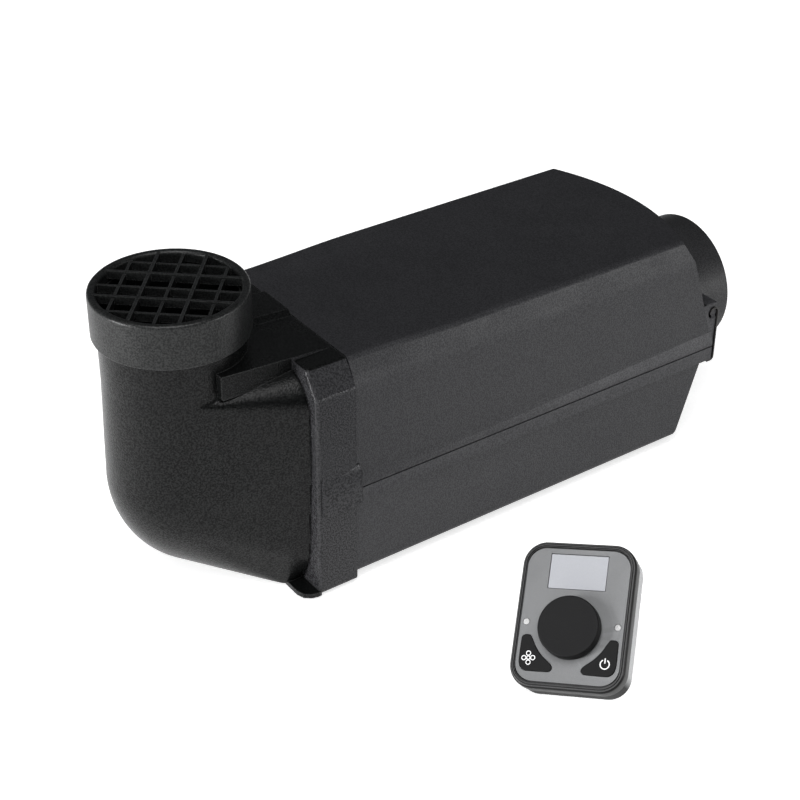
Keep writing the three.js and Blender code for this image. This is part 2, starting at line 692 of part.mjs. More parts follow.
/** The clip's strip, drawn in (Y, Z) around its pivot: hook over the bead, run down, foot. */
function clipStrip() {
  const foot = CLIP_PIVOT_HEIGHT - (SEAM_HEIGHT - SEAT_GAP / 2 - LUG_HEIGHT) + 0.5;
  const heel = 2;
  const shape = new THREE.Shape();
  const hookEnd = radians(165);
  shape.absarc(0, 0, CLIP_OUTER_RADIUS, 0, hookEnd);
  shape.absarc(0, 0, CLIP_INNER_RADIUS, hookEnd, 0, true);
  shape.lineTo(CLIP_INNER_RADIUS, -foot + heel);
  shape.lineTo(CLIP_INNER_RADIUS - heel, -foot);
  shape.lineTo(CLIP_INNER_RADIUS - CLIP_FOOT, -foot);
  shape.lineTo(CLIP_INNER_RADIUS - CLIP_FOOT, -foot - CLIP_STEEL);
  shape.lineTo(CLIP_INNER_RADIUS - heel + 0.4, -foot - CLIP_STEEL);
  shape.lineTo(CLIP_OUTER_RADIUS, -foot + heel - 0.4);
  return prism(shape, 'x', 0, CLIP_WIDTH);
}

// ---------------------------------------------------------------- inlet elbow

/** Outer cross-section of the band in (X, Z). */
function bandSection() {
  const half = HALF + BAND_PROUD;
  const skirt = -BAND_SKIRT;
  const corner = 4;
  return outline([
    [-half + corner, skirt], [half - corner, skirt], [half, skirt + corner],
    [half, CASING_HEIGHT - BAND_CHAMFER_DROP],
    [half - BAND_CHAMFER_WIDTH, CASING_HEIGHT],
    [-half + BAND_CHAMFER_WIDTH, CASING_HEIGHT],
    [-half, CASING_HEIGHT - BAND_CHAMFER_DROP], [-half, skirt + corner],
  ]);
}

/** Points of the hood's section where it meets the band, at a distance ahead of the casing. */
function hoodSectionPoints(inset, y) {
  const points = [];
  const roof = CASING_HEIGHT - HOOD_ROOF_DROP - inset;
  const floor = -BAND_SKIRT + inset;
  const floorHalf = HOOD_HALF_FLOOR - 0.6 * inset;
  const roofRadius = HOOD_ROOF_RADIUS - inset;
  const steps = 5;
  for (const side of [1, -1]) {
    points.push([side * (HOOD_HALF_TOP - inset), y, HOOD_DRAFT_TOP]);
    points.push([side * (HOOD_HALF_LOW - inset), y, HOOD_LOW_HEIGHT]);
    points.push([side * (HOOD_HALF_KNEE - inset), y, HOOD_KNEE_HEIGHT]);
    points.push([side * floorHalf, y, floor], [side * floorHalf, -FOOT_REACH + inset / 2, floor]);
    for (let i = 0; i <= steps; i += 1) {
      const turn = (i / steps) * (Math.PI / 2);
      const roofX = HOOD_HALF_TOP - inset - roofRadius + roofRadius * Math.cos(turn);
      points.push([side * roofX, y, roof - roofRadius + roofRadius * Math.sin(turn)]);
    }
  }
  return points;
}

/** The foot at one lower corner of the elbow, flush with the band's side. */
function elbowFoot() {
  const side = HALF + BAND_PROUD;
  const back = -BAND_LENGTH + 1;
  const [near, far] = [FOOT_CORNER, 0.3 * FOOT_CORNER];
  return prism(outline([
    [FOOT_HALF_INNER, back], [FOOT_HALF_INNER, -FOOT_REACH], [side - near, -FOOT_REACH],
    [side - far, -FOOT_REACH + far], [side, -FOOT_REACH + near], [side, back],
  ]), 'z', -BAND_SKIRT, -BAND_SKIRT + FOOT_THICKNESS);
}

/** Points of the riser's foot and of the bend that carries it round towards the casing. */
function bendPoints(inset) {
  const points = [];
  const foot = RISER_FOOT_RADIUS - inset;
  const shoulder = RISER_RADIUS - inset;
  const bend = BEND_RADIUS - inset;
  const bendTop = BEND_FLOOR + BEND_RADIUS * BEND_STRETCH;
  const bendCentreY = -RISER_SETBACK - RISER_FOOT_RADIUS + BEND_RADIUS;
  const around = 24;
  for (let i = 0; i < around; i += 1) {
    const turn = (i / around) * 2 * Math.PI;
    const [c, s] = [Math.cos(turn), Math.sin(turn)];
    points.push([shoulder * c, -RISER_SETBACK + shoulder * s, SHOULDER_HEIGHT - inset]);
    points.push([foot * c, -RISER_SETBACK + foot * s, bendTop]);
  }
  const sweepSteps = 6;
  const halfRound = 12;
  for (let j = 1; j <= sweepSteps; j += 1) {
    const sweep = (j / sweepSteps) * (Math.PI / 2);
    for (let i = 0; i <= halfRound; i += 1) {
      const turn = (i / halfRound - 0.5) * Math.PI;
      const reach = bend - foot + foot * Math.cos(turn);
      points.push([
        foot * Math.sin(turn),
        bendCentreY - reach * Math.cos(sweep),
        bendTop - reach * Math.sin(sweep) * BEND_STRETCH,
      ]);
    }
  }
  return points;
}

function hood(inset, y) {
  const points = [...hoodSectionPoints(inset, y), ...bendPoints(inset)];
  return solid(new ConvexGeometry(points.map((p) => new THREE.Vector3(...p))));
}

/** The flat gusset between band and riser, its top rising towards the riser. */
function wing() {
  const slope = WING_RISE / WING_REACH;
  const profile = outline([
    [-0.5, WING_BOTTOM],
    [-0.5, CASING_HEIGHT],
    [-WING_REACH, CASING_HEIGHT + WING_REACH * slope],
    [-WING_REACH, WING_BOTTOM + 1],
    [-WING_REACH + 1, WING_BOTTOM],
  ]);
  return prism(profile, 'x', -WING_HALF, WING_HALF);
}

/** Raised pad on the middle of the wing, with sloped sides. */
function wingPad() {
  const top = CASING_HEIGHT + PAD_HEIGHT;
  const profile = outline([
    [PAD_LEFT - PAD_SLOPE, WING_BOTTOM + 3],
    [PAD_RIGHT + PAD_SLOPE, WING_BOTTOM + 3],
    [PAD_RIGHT + PAD_SLOPE, CASING_HEIGHT],
    [PAD_RIGHT, top],
    [PAD_LEFT, top],
    [PAD_LEFT - PAD_SLOPE, CASING_HEIGHT],
  ]);
  const pad = prism(profile, 'y', -BAND_LENGTH - 4, -0.5);
  const lift = WING_RISE / WING_REACH;
  return solidTilted(pad, lift);
}

/** Shears a solid upwards in proportion to its distance ahead of the casing. */
function solidTilted(part, slope) {
  return part.transform([1, 0, 0, 0, 0, 1, -slope, 0, 0, 0, 1, 0, 0, 0, 0, 1]);
}

function bandBlock() {
  const inner = HALF - 2;
  const face = HALF + BAND_PROUD + BAND_BLOCK_PROUD;
  const points = [
    [inner, BAND_BLOCK_BOTTOM], [face, BAND_BLOCK_BOTTOM], [face, BAND_BLOCK_SHOULDER],
    [HALF + BAND_PROUD, BAND_BLOCK_TOP], [inner, BAND_BLOCK_TOP],
  ];
  const block = prism(outline(points), 'y', -BAND_LENGTH + BAND_BLOCK_SETBACK, BAND_BLOCK_OVERLAP);
  const room = box(0, HALF + SEAT_GAP, -SEAT_GAP, 10, 0, CASING_HEIGHT);
  return cut(block, room);
}

function inletElbow() {
  const bandBack = -SEAT_GAP;
  const band = prism(bandSection(), 'y', -BAND_LENGTH, bandBack);
  const riser = rod('z', RISER_RADIUS, SHOULDER_HEIGHT - 8, RISER_TOP, [0, -RISER_SETBACK], ROUND_SIDES);
  const block = bandBlock();
  const foot = elbowFoot();
  const outer = join(
    band, hood(0, -BAND_LENGTH + 1), riser, wing(), wingPad(), block, mirrored(block), foot, mirrored(foot),
  );
  const bore = rod(
    'z', RISER_RADIUS - RISER_WALL, SHOULDER_HEIGHT - 20, CAP_TOP, [0, -RISER_SETBACK], ROUND_SIDES,
  );
  const throat = prism(casingSection(CASING_WALL + SEAT_GAP + SPIGOT_WALL), 'y', -BAND_LENGTH + 4, 1);
  const spigot = cut(
    prism(casingSection(CASING_WALL + SEAT_GAP), 'y', -4, SPIGOT_LENGTH),
    prism(casingSection(CASING_WALL + SEAT_GAP + SPIGOT_WALL), 'y', -5, SPIGOT_LENGTH + 1),
  );
  const inside = join(hood(ELBOW_WALL, -BAND_LENGTH + 5), bore, throat);
  return join(cut(outer, inside), spigot);
}

// ---------------------------------------------------------------- grille cap

/** One set of parallel bars; every second bar is thick and stands higher. */
function grilleBars(axis) {
  const middle = (GRILLE_BARS - 1) / 2;
  let bars = null;
  for (let i = 0; i < GRILLE_BARS; i += 1) {
    const thick = i % 2 === 1;
    const offset = (i - middle) * GRILLE_PITCH;
    const half = (thick ? GRILLE_THICK : GRILLE_THIN) / 2;
    const top = CAP_TOP - 0.2 - (thick ? 0 : GRILLE_STEP);
    const reach = Math.sqrt((CAP_LIP_RADIUS + 1) ** 2 - offset ** 2);
    const bar = axis === 'x'
      ? box(-reach, reach, offset - half, offset + half, top - GRILLE_DEPTH, top)
      : box(offset - half, offset + half, -reach, reach, top - GRILLE_DEPTH, top);
    bars = bars ? join(bars, bar) : bar;
  }
  return bars;
}

/** The cap is made around its own axis and turned as a whole where it is placed. */
function grilleCap() {
  const bottom = CAP_TOP - CAP_HEIGHT;
  const ring = turned([
    [CAP_SKIRT_RADIUS, bottom],
    [CAP_RADIUS - 0.6, bottom],
    [CAP_RADIUS, bottom + 0.6],
    [CAP_RADIUS, CAP_TOP - 1.2],
    [CAP_RADIUS - 1.2, CAP_TOP],
    [CAP_LIP_RADIUS + 1.5, CAP_TOP],
    [CAP_LIP_RADIUS, CAP_TOP - 2],
    [CAP_LIP_RADIUS, CAP_TOP - CAP_LIP_DEPTH],
    [CAP_SKIRT_RADIUS, CAP_TOP - CAP_LIP_DEPTH],
  ], 'z', [0, 0], ROUND_SIDES);
  return join(ring, grilleBars('x'), grilleBars('y'));
}

// ---------------------------------------------------------------- floor flange

function studPlaces() {
  const places = [];
  for (const y of [-1, 1]) {
    for (const x of [-1, 1]) {
      places.push([x * STUD_SPACING_X / 2, FLANGE_CENTRE + y * STUD_SPACING_Y / 2]);
    }
  }
  return places;
}

function flangeGasket() {
  const top = FLANGE_UNDERSIDE - GASKET_GAP;
  const sheet = flangeBlock(0, top - GASKET_THICKNESS, top);
  const low = top - GASKET_THICKNESS - 1;
  const holes = studPlaces().map((at) => rod('z', STUD_RADIUS + SEAT_GAP, low, top + 1, at, SMALL_SIDES));
  return cut(
    sheet, ...holes,
    rod('z', EXHAUST_RADIUS + 2 * SEAT_GAP, low, top + 1, [0, EXHAUST_Y]),
    rod('z', AIR_STUB_RADIUS + 2 * SEAT_GAP, low, top + 1, [0, AIR_STUB_Y]),
    rod('z', FUEL_RADIUS + 2 * SEAT_GAP, low, top + 1, [FUEL_SIDE, FUEL_Y], SMALL_SIDES),
  );
}

function flangeStud(place) {
  const top = FLANGE_UNDERSIDE + STUD_GRIP;
  const bottom = top - STUD_LENGTH;
  return turned([
    [0, bottom], [STUD_RADIUS - 0.6, bottom], [STUD_RADIUS, bottom + 0.6],
    [STUD_RADIUS, top - 0.6], [STUD_RADIUS - 0.6, top], [0, top],
  ], 'z', place, SMALL_SIDES);
}

/** A stub for a clamped hose or exhaust pipe, with a bead near its open end. */
function stub(radius, y) {
  const bottom = FLANGE_UNDERSIDE - STUB_DROP;
  const top = FLANGE_UNDERSIDE + STUB_GRIP - SEAT_GAP;
  return turned([
    [radius - STUB_WALL, bottom],
    [radius, bottom],
    [radius, bottom + 2],
    [radius + STUB_BEAD, bottom + 3],
    [radius, bottom + 4],
    [radius, top],
    [radius - STUB_WALL, top],
  ], 'z', [0, y]);
}

// ---------------------------------------------------------------- heat exchanger and burner

/** A screw ear at an angle around the blower axis. */
function ears(from, to, hole) {
  let all = null;
  for (const angle of EAR_ANGLES) {
    const [c, s] = [Math.cos(radians(angle)), Math.sin(radians(angle))];
    const place = [EAR_REACH * c, AXIS_HEIGHT + EAR_REACH * s];
    const ear = rod('y', hole ? SCREW_RADIUS + SEAT_GAP : EAR_RADIUS, from, to, place, SMALL_SIDES);
    all = all ? join(all, ear) : ear;
  }
  return all;
}

function fins() {
  const finEnd = EXCHANGER_END - FIN_END_SETBACK;
  let all = null;
  for (let i = 0; i < FIN_COUNT; i += 1) {
    const fin = new THREE.BoxGeometry(FIN_RADIUS - EXCHANGER_RADIUS + 1, finEnd - FIN_START, FIN_THICKNESS);
    fin.translate((FIN_RADIUS + EXCHANGER_RADIUS - 1) / 2, (finEnd + FIN_START) / 2, 0);
    fin.rotateY((i + 0.5) * 2 * Math.PI / FIN_COUNT);
    fin.translate(0, 0, AXIS_HEIGHT);
    all = all ? join(all, solid(fin)) : solid(fin);
  }
  return all;
}

function innerFins() {
  const inner = EXCHANGER_RADIUS - EXCHANGER_WALL;
  let all = null;
  for (let i = 0; i < INNER_FIN_COUNT; i += 1) {
    const fin = new THREE.BoxGeometry(INNER_FIN_DEPTH + 1, EXCHANGER_END - FIN_START - 2, FIN_THICKNESS);
    fin.translate(inner + (1 - INNER_FIN_DEPTH) / 2, (EXCHANGER_END + FIN_START) / 2 - 1, 0);
    fin.rotateY((i + 0.5) * 2 * Math.PI / INNER_FIN_COUNT);
    fin.translate(0, 0, AXIS_HEIGHT);
    all = all ? join(all, solid(fin)) : solid(fin);
  }
  return all;
}

function heatExchanger() {
  const axis = [0, AXIS_HEIGHT];
  const inner = EXCHANGER_RADIUS - EXCHANGER_WALL;
  const rimTop = FLANGE_RIM_TOP;
  const rimFloor = CASING_WALL + SEAT_GAP;
  const ductTop = AXIS_HEIGHT - EXCHANGER_RADIUS;
  const blowerFloor = AXIS_HEIGHT - CLAMP_RING_RADIUS;
  const body = turned([
    [inner, EXCHANGER_START],
    [CLAMP_RING_RADIUS, EXCHANGER_START],
    [CLAMP_RING_RADIUS, EXCHANGER_START + CLAMP_RING_LENGTH],
    [EXCHANGER_RADIUS, EXCHANGER_START + CLAMP_RING_LENGTH],
    [EXCHANGER_RADIUS, EXCHANGER_END - 6],
    [EXCHANGER_RADIUS - 6, EXCHANGER_END],
    [0, EXCHANGER_END],
    [0, EXCHANGER_END - EXCHANGER_WALL],
    [inner, EXCHANGER_END - EXCHANGER_WALL],
  ].reverse(), 'y', axis, ROUND_SIDES);
  const plugBoss = rod(
    'z', PLUG_BODY_RADIUS + 3, AXIS_HEIGHT + inner + 1, PLUG_SEAT, [0, PLUG_Y], SMALL_SIDES,
  );
  const sensorSeat = box(
    -SENSOR_HALF_WIDTH - 4, SENSOR_HALF_WIDTH + 4, SENSOR_Y - 13, SENSOR_Y + 13,
    AXIS_HEIGHT + inner + 0.5, SENSOR_SEAT,
  );
  const sensorRoom = box(-26, 26, SENSOR_Y - 24, SENSOR_Y + 17, SENSOR_SEAT, everywhere);
  const seatSides = box(-26, 26, SENSOR_Y - 24, SENSOR_Y + 17, AXIS_HEIGHT + 34, everywhere);
  const flange = join(
    flangeBlock(0, FLANGE_UNDERSIDE, rimTop),
    flangeBlock(FLANGE_RIM, rimFloor, rimTop),
  );
  const exhaustDuct = rod('z', EXHAUST_RADIUS + 3, rimFloor, ductTop + 4, [0, EXHAUST_Y]);
  const airDuct = rod('z', AIR_STUB_RADIUS + 2, rimFloor, blowerFloor - SEAT_GAP, [0, AIR_STUB_Y]);
  const stubSocket = FLANGE_UNDERSIDE + STUB_GRIP;
  const cavity = rod('y', inner, EXCHANGER_START, EXCHANGER_END - EXCHANGER_WALL, axis, ROUND_SIDES);
  const finned = cut(fins(), seatSides, cavity);
  const whole = join(body, finned, plugBoss, sensorSeat, flange, exhaustDuct, airDuct,
    ears(EXCHANGER_START, EXCHANGER_START + CLAMP_RING_LENGTH + 8, false));
  const studHoles = studPlaces().map((at) => rod(
    'z', STUD_RADIUS + 0.2, FLANGE_UNDERSIDE - 1, FLANGE_UNDERSIDE + STUD_GRIP + 0.5, at, SMALL_SIDES,
  ));
  const opened = cut(
    whole, cavity, sensorRoom, ...studHoles,
    ears(EXCHANGER_START - 1, EXCHANGER_START + CLAMP_RING_LENGTH + 6, true),
    rod('z', PLUG_BODY_RADIUS + SEAT_GAP, AXIS_HEIGHT + inner - 5, everywhere, [0, PLUG_Y], SMALL_SIDES),
    rod('z', EXHAUST_RADIUS + SEAT_GAP, FLANGE_UNDERSIDE - 1, stubSocket, [0, EXHAUST_Y]),
    rod('z', EXHAUST_RADIUS - STUB_WALL, FLANGE_UNDERSIDE, AXIS_HEIGHT - inner + 1, [0, EXHAUST_Y]),
    rod('z', AIR_STUB_RADIUS + SEAT_GAP, FLANGE_UNDERSIDE - 1, stubSocket, [0, AIR_STUB_Y]),
    rod('z', AIR_STUB_RADIUS - STUB_WALL, FLANGE_UNDERSIDE, everywhere / 8, [0, AIR_STUB_Y]),
    rod('z', FUEL_RADIUS + SEAT_GAP, FLANGE_UNDERSIDE - 1, AXIS_HEIGHT, [FUEL_SIDE, FUEL_Y], SMALL_SIDES),
  );
  return join(opened, cut(innerFins(), rod('z', EXHAUST_RADIUS, 0, AXIS_HEIGHT, [0, EXHAUST_Y])));
}

function burnerChamber() {
  const plateFront = BURNER_PLATE_BACK - BURNER_PLATE;
  const tubeEnd = BURNER_PLATE_BACK + BURNER_LENGTH;
  const tube = turned([
    [8, plateFront],
    [CLAMP_RING_RADIUS, plateFront],
    [CLAMP_RING_RADIUS, BURNER_PLATE_BACK],
    [BURNER_RADIUS, BURNER_PLATE_BACK],
    [BURNER_RADIUS, tubeEnd],
    [BURNER_RADIUS - BURNER_WALL, tubeEnd],
    [BURNER_RADIUS - BURNER_WALL, BURNER_PLATE_BACK],
    [8, BURNER_PLATE_BACK],
  ], 'y', [0, AXIS_HEIGHT], 36);
  const holeY = BURNER_PLATE_BACK + GAUZE_LENGTH + 20;
  const holes = [];
  for (let i = 0; i < BURNER_HOLES; i += 1) {
    const hole = new THREE.CylinderGeometry(BURNER_HOLE_RADIUS, BURNER_HOLE_RADIUS, 10, 8);
    hole.rotateX(Math.PI / 2).translate(0, 0, BURNER_RADIUS);
    hole.rotateY((i + 0.5) * 2 * Math.PI / BURNER_HOLES);
    holes.push(solid(hole.translate(0, holeY, AXIS_HEIGHT)));
  }
  const plugHole = rod(
    'z', PLUG_TIP_RADIUS + SEAT_GAP, AXIS_HEIGHT, AXIS_HEIGHT + BURNER_RADIUS + 1, [0, PLUG_Y], SMALL_SIDES,
  );
  const fuelHole = rod(
    'z', FUEL_RADIUS + SEAT_GAP, AXIS_HEIGHT - BURNER_RADIUS - 1, AXIS_HEIGHT - FUEL_TIP_DROP + 3,
    [FUEL_SIDE, FUEL_Y], SMALL_SIDES,
  );
  const eared = join(tube, ears(plateFront, BURNER_PLATE_BACK, false));
  return cut(eared, ears(plateFront - 1, BURNER_PLATE_BACK + 1, true), plugHole, fuelHole, ...holes);
}

function burnerGauze() {
  const start = BURNER_PLATE_BACK + SEAT_GAP;
  return cut(
    turned([
      [GAUZE_RADIUS - GAUZE_WALL, start], [BURNER_RADIUS - BURNER_WALL - SEAT_GAP, start],
      [BURNER_RADIUS - BURNER_WALL - SEAT_GAP, start + GAUZE_WALL], [GAUZE_RADIUS, start + GAUZE_WALL],
      [GAUZE_RADIUS, start + GAUZE_LENGTH], [GAUZE_RADIUS - GAUZE_WALL, start + GAUZE_LENGTH],
    ], 'y', [0, AXIS_HEIGHT]),
    rod('z', PLUG_TIP_RADIUS + 1, AXIS_HEIGHT, AXIS_HEIGHT + BURNER_RADIUS, [0, PLUG_Y], SMALL_SIDES),
  );
}

function glowPlug() {
  const seat = PLUG_SEAT + SEAT_GAP;
  const tip = AXIS_HEIGHT + BURNER_RADIUS - 6;
  const step = AXIS_HEIGHT + EXCHANGER_RADIUS - EXCHANGER_WALL - 2;
  const body = turned([
    [0, tip], [PLUG_TIP_RADIUS, tip], [PLUG_TIP_RADIUS, step], [PLUG_BODY_RADIUS, step],
    [PLUG_BODY_RADIUS, seat + 1], [PLUG_TIP_RADIUS, seat + 1],
    [PLUG_TIP_RADIUS, seat + PLUG_HEX_HEIGHT + PLUG_TERMINAL], [0, seat + PLUG_HEX_HEIGHT + PLUG_TERMINAL],
  ], 'z', [0, PLUG_Y], SMALL_SIDES);
  return join(body, rod('z', PLUG_HEX_RADIUS, seat, seat + PLUG_HEX_HEIGHT, [0, PLUG_Y], 6));
}

function fuelPipe() {
  const top = AXIS_HEIGHT - FUEL_TIP_DROP;
  const bottom = FLANGE_UNDERSIDE - STUB_DROP;
  const inner = FUEL_RADIUS - FUEL_WALL;
  return turned([
    [inner, bottom], [FUEL_RADIUS, bottom], [FUEL_RADIUS, top], [inner, top],
  ], 'z', [FUEL_SIDE, FUEL_Y], SMALL_SIDES);
}

// ---------------------------------------------------------------- blower

function blowerHousing() {
  const outer = CLAMP_RING_RADIUS;
  const inner = outer - BLOWER_WALL;
  const hub = 9;
  const cup = turned([
    [hub, BLOWER_BACK], [outer, BLOWER_BACK], [outer, BLOWER_OPEN],
    [inner, BLOWER_OPEN], [inner, BLOWER_BACK + BLOWER_WALL], [hub, BLOWER_BACK + BLOWER_WALL],
  ], 'y', [0, AXIS_HEIGHT], ROUND_SIDES);
  const seat = box(-20, 20, BLOWER_BACK + 6, BLOWER_OPEN - 4, AXIS_HEIGHT + inner + 1, UNIT_SEAT_HEIGHT);
  const bottom = AXIS_HEIGHT - outer - 1;
  const intake = rod('z', BLOWER_INTAKE_RADIUS, bottom, AXIS_HEIGHT - inner + 8, [0, AIR_STUB_Y]);
  const earStart = BLOWER_OPEN - 10;
  return cut(
    join(cup, seat, ears(earStart, BLOWER_OPEN, false)),
    ears(earStart - 1, BLOWER_OPEN + 1, true), intake,
    rod('y', inner, BLOWER_BACK + BLOWER_WALL, BLOWER_OPEN + 1, [0, AXIS_HEIGHT], ROUND_SIDES),
  );
}

function blowerScrew(angle) {
  const [c, s] = [Math.cos(radians(angle)), Math.sin(radians(angle))];
  const head = BLOWER_OPEN - 10 - SEAT_GAP;
  const tip = EXCHANGER_START + CLAMP_RING_LENGTH + 5;
  return turned([
    [0, head - SCREW_HEAD_HEIGHT], [SCREW_HEAD_RADIUS, head - SCREW_HEAD_HEIGHT],
    [SCREW_HEAD_RADIUS, head], [SCREW_RADIUS, head], [SCREW_RADIUS, tip], [0, tip],
  ], 'y', [EAR_REACH * c, AXIS_HEIGHT + EAR_REACH * s], 10);
}

const bearingBore = BEARING_RADIUS + 0.15;
const shaftHole = SHAFT_RADIUS + 1;
const rearBearing = MOTOR_BACK - MOTOR_WALL - BEARING_WIDTH;
const frontBearing = MOTOR_FRONT + MOTOR_WALL;

function motorCan() {
  const inner = MOTOR_RADIUS - MOTOR_WALL;
  const boss = BEARING_RADIUS + 3;
  return turned([
    [shaftHole, MOTOR_BACK], [MOTOR_RADIUS, MOTOR_BACK], [MOTOR_RADIUS, MOTOR_FRONT],
    [inner, MOTOR_FRONT], [inner, MOTOR_BACK - MOTOR_WALL + 0.1], [boss, MOTOR_BACK - MOTOR_WALL + 0.1],
    [boss, rearBearing], [bearingBore, rearBearing], [bearingBore, MOTOR_BACK - MOTOR_WALL + SEAT_GAP],
    [shaftHole, MOTOR_BACK - MOTOR_WALL + SEAT_GAP],
  ], 'y', [0, AXIS_HEIGHT]);
}

function motorEndPlate() {
  const rim = MOTOR_RADIUS - MOTOR_WALL - SEAT_GAP;
  const boss = BEARING_RADIUS + 3;
  const back = frontBearing - SEAT_GAP;
  return turned([
    [shaftHole, MOTOR_FRONT], [rim, MOTOR_FRONT], [rim, back], [boss, back],
    [boss, frontBearing + BEARING_WIDTH], [bearingBore, frontBearing + BEARING_WIDTH],
    [bearingBore, back], [shaftHole, back],
  ], 'y', [0, AXIS_HEIGHT]);
}

function bearing(start) {
  const bore = SHAFT_RADIUS + SHAFT_FIT;
  const end = start + BEARING_WIDTH - SEAT_GAP;
  return turned([
    [bore, start], [BEARING_RADIUS, start], [BEARING_RADIUS, end], [bore, end],
  ], 'y', [0, AXIS_HEIGHT]);
}

const motorShaft = () => turned([
  [0, SHAFT_START], [SHAFT_RADIUS - 0.4, SHAFT_START], [SHAFT_RADIUS, SHAFT_START + 0.4],
  [SHAFT_RADIUS, SHAFT_END - 0.4], [SHAFT_RADIUS - 0.4, SHAFT_END], [0, SHAFT_END],
], 'y', [0, AXIS_HEIGHT]);

function armature() {
  const bore = SHAFT_RADIUS + SHAFT_FIT;
  const middle = (MOTOR_FRONT + MOTOR_BACK) / 2;
  const [start, end] = [middle - ARMATURE_LENGTH / 2, middle + ARMATURE_LENGTH / 2];
  const core = turned([
    [bore, start], [ARMATURE_RADIUS, start], [ARMATURE_RADIUS, end], [bore, end],
  ], 'y', [0, AXIS_HEIGHT]);
  const slots = [];
  for (let i = 0; i < 6; i += 1) {
    const slot = new THREE.BoxGeometry(2.4, ARMATURE_LENGTH + 2, 14);
    slot.translate(0, middle, ARMATURE_RADIUS - 3);
    slot.rotateY(i * Math.PI / 3);
    slots.push(solid(slot.translate(0, 0, AXIS_HEIGHT)));
  }
  return cut(core, ...slots);
}

/** A twisted fan blade, built from thin four-sided sections between hub and tip. */
function fanBlade(angle) {
  const stations = 4;
  const root = FAN_HUB_RADIUS - 1.5;
  const position = [];
  for (let i = 0; i < stations; i += 1) {
    const t = i / (stations - 1);
    const radius = root + t * (FAN_RADIUS - root);
    const pitch = radians(52 - 24 * t);
    const chord = 18 + 4 * t;
    const [c, s] = [Math.cos(pitch), Math.sin(pitch)];
    for (const [along, thick] of [[-1, -1], [1, -1], [1, 1], [-1, 1]]) {
      const u = along * chord / 2;
      const v = thick * FAN_BLADE_THICKNESS / 2;
      position.push(u * s - v * c, FAN_START + FAN_DEPTH / 2 + u * c + v * s, radius);
    }
  }
  const index = [0, 1, 2, 0, 2, 3];
  for (let i = 0; i < stations - 1; i += 1) {
    for (let k = 0; k < 4; k += 1) {
      const [a, b] = [4 * i + k, 4 * i + (k + 1) % 4];
      index.push(a, a + 4, b + 4, a, b + 4, b);
    }
  }
  const last = 4 * (stations - 1);
  index.push(last, last + 2, last + 1, last, last + 3, last + 2);
  const geometry = new THREE.BufferGeometry();
  geometry.setAttribute('position', new THREE.Float32BufferAttribute(position, 3));
  geometry.setIndex(index);
  geometry.rotateY(angle);
  return solid(geometry.translate(0, 0, AXIS_HEIGHT));
}

function hotAirFan() {
  const bore = SHAFT_RADIUS + SHAFT_FIT;
  const end = FAN_START + FAN_DEPTH;
  const hub = turned([
    [bore, FAN_START], [FAN_HUB_RADIUS - 3, FAN_START], [FAN_HUB_RADIUS, FAN_START + 3],
    [FAN_HUB_RADIUS, end], [FAN_HUB_RADIUS - 2.5, end], [FAN_HUB_RADIUS - 2.5, FAN_START + 3],
    [6, FAN_START + 3], [6, end - 4], [bore, end - 4],
  ], 'y', [0, AXIS_HEIGHT]);
  const inside = rod('y', FAN_HUB_RADIUS - 2.2, FAN_START + 4, end + 1, [0, AXIS_HEIGHT]);
  let blades = null;
  for (let i = 0; i < FAN_BLADES; i += 1) {
    const blade = cut(fanBlade(i * 2 * Math.PI / FAN_BLADES), inside);
    blades = blades ? join(blades, blade) : blade;
  }
  return join(hub, blades);
}

function combustionImpeller() {
  const bore = SHAFT_RADIUS + SHAFT_FIT;
  const start = BLOWER_BACK + BLOWER_WALL + 2;
  const face = start + 2;
  const hubEnd = face + IMPELLER_BLADE_HEIGHT;
  let wheel = turned([
    [bore, start], [IMPELLER_RADIUS, start], [IMPELLER_RADIUS, face], [7, face], [7, hubEnd], [bore, hubEnd],
  ], 'y', [0, AXIS_HEIGHT], 36);
  for (let i = 0; i < IMPELLER_BLADES; i += 1) {
    const length = IMPELLER_RADIUS - 15;
    const blade = new THREE.BoxGeometry(IMPELLER_BLADE_THICKNESS, IMPELLER_BLADE_HEIGHT, length);
    blade.rotateY(radians(25));
    blade.translate(-5, face + IMPELLER_BLADE_HEIGHT / 2 - 0.2, IMPELLER_RADIUS - length / 2 - 1);
    blade.rotateY(i * 2 * Math.PI / IMPELLER_BLADES);
    wheel = join(wheel, solid(blade.translate(0, 0, AXIS_HEIGHT)));
  }
  return common(wheel, rod('y', IMPELLER_RADIUS, start - 1, hubEnd + 1, [0, AXIS_HEIGHT], 36));
}

// ---------------------------------------------------------------- control unit and leads

const unitEnd = UNIT_START + UNIT_LENGTH;
const unitFloor = UNIT_SEAT_HEIGHT + SEAT_GAP;

function controlUnitCase() {
  const w = UNIT_HALF_WIDTH;
  const shell = box(-w, w, UNIT_START, unitEnd, unitFloor, UNIT_TOP);
  const room = box(
    -w + UNIT_WALL, w - UNIT_WALL, UNIT_START + UNIT_WALL, unitEnd - UNIT_WALL,
    unitFloor + UNIT_WALL, UNIT_TOP + 1,
  );
  return cut(shell, room);
}

function controlUnitLid() {
  const w = UNIT_HALF_WIDTH;
  const under = UNIT_LID_UNDERSIDE;
  const plate = box(-w, w, UNIT_START, unitEnd, under, under + UNIT_LID_HEIGHT);
  const inset = UNIT_WALL + SEAT_GAP;
  const skirt = box(-w + inset, w - inset, UNIT_START + inset, unitEnd - inset, under - 3, under + 0.5);
  const room = box(
    -w + inset + 2, w - inset - 2, UNIT_START + inset + 2, unitEnd - inset - 2, under - 4, under,
  );
  return cut(join(plate, skirt), room);
}

const sensorBottom = SENSOR_SEAT + SEAT_GAP;
const sensorTop = sensorBottom + SENSOR_HEIGHT;

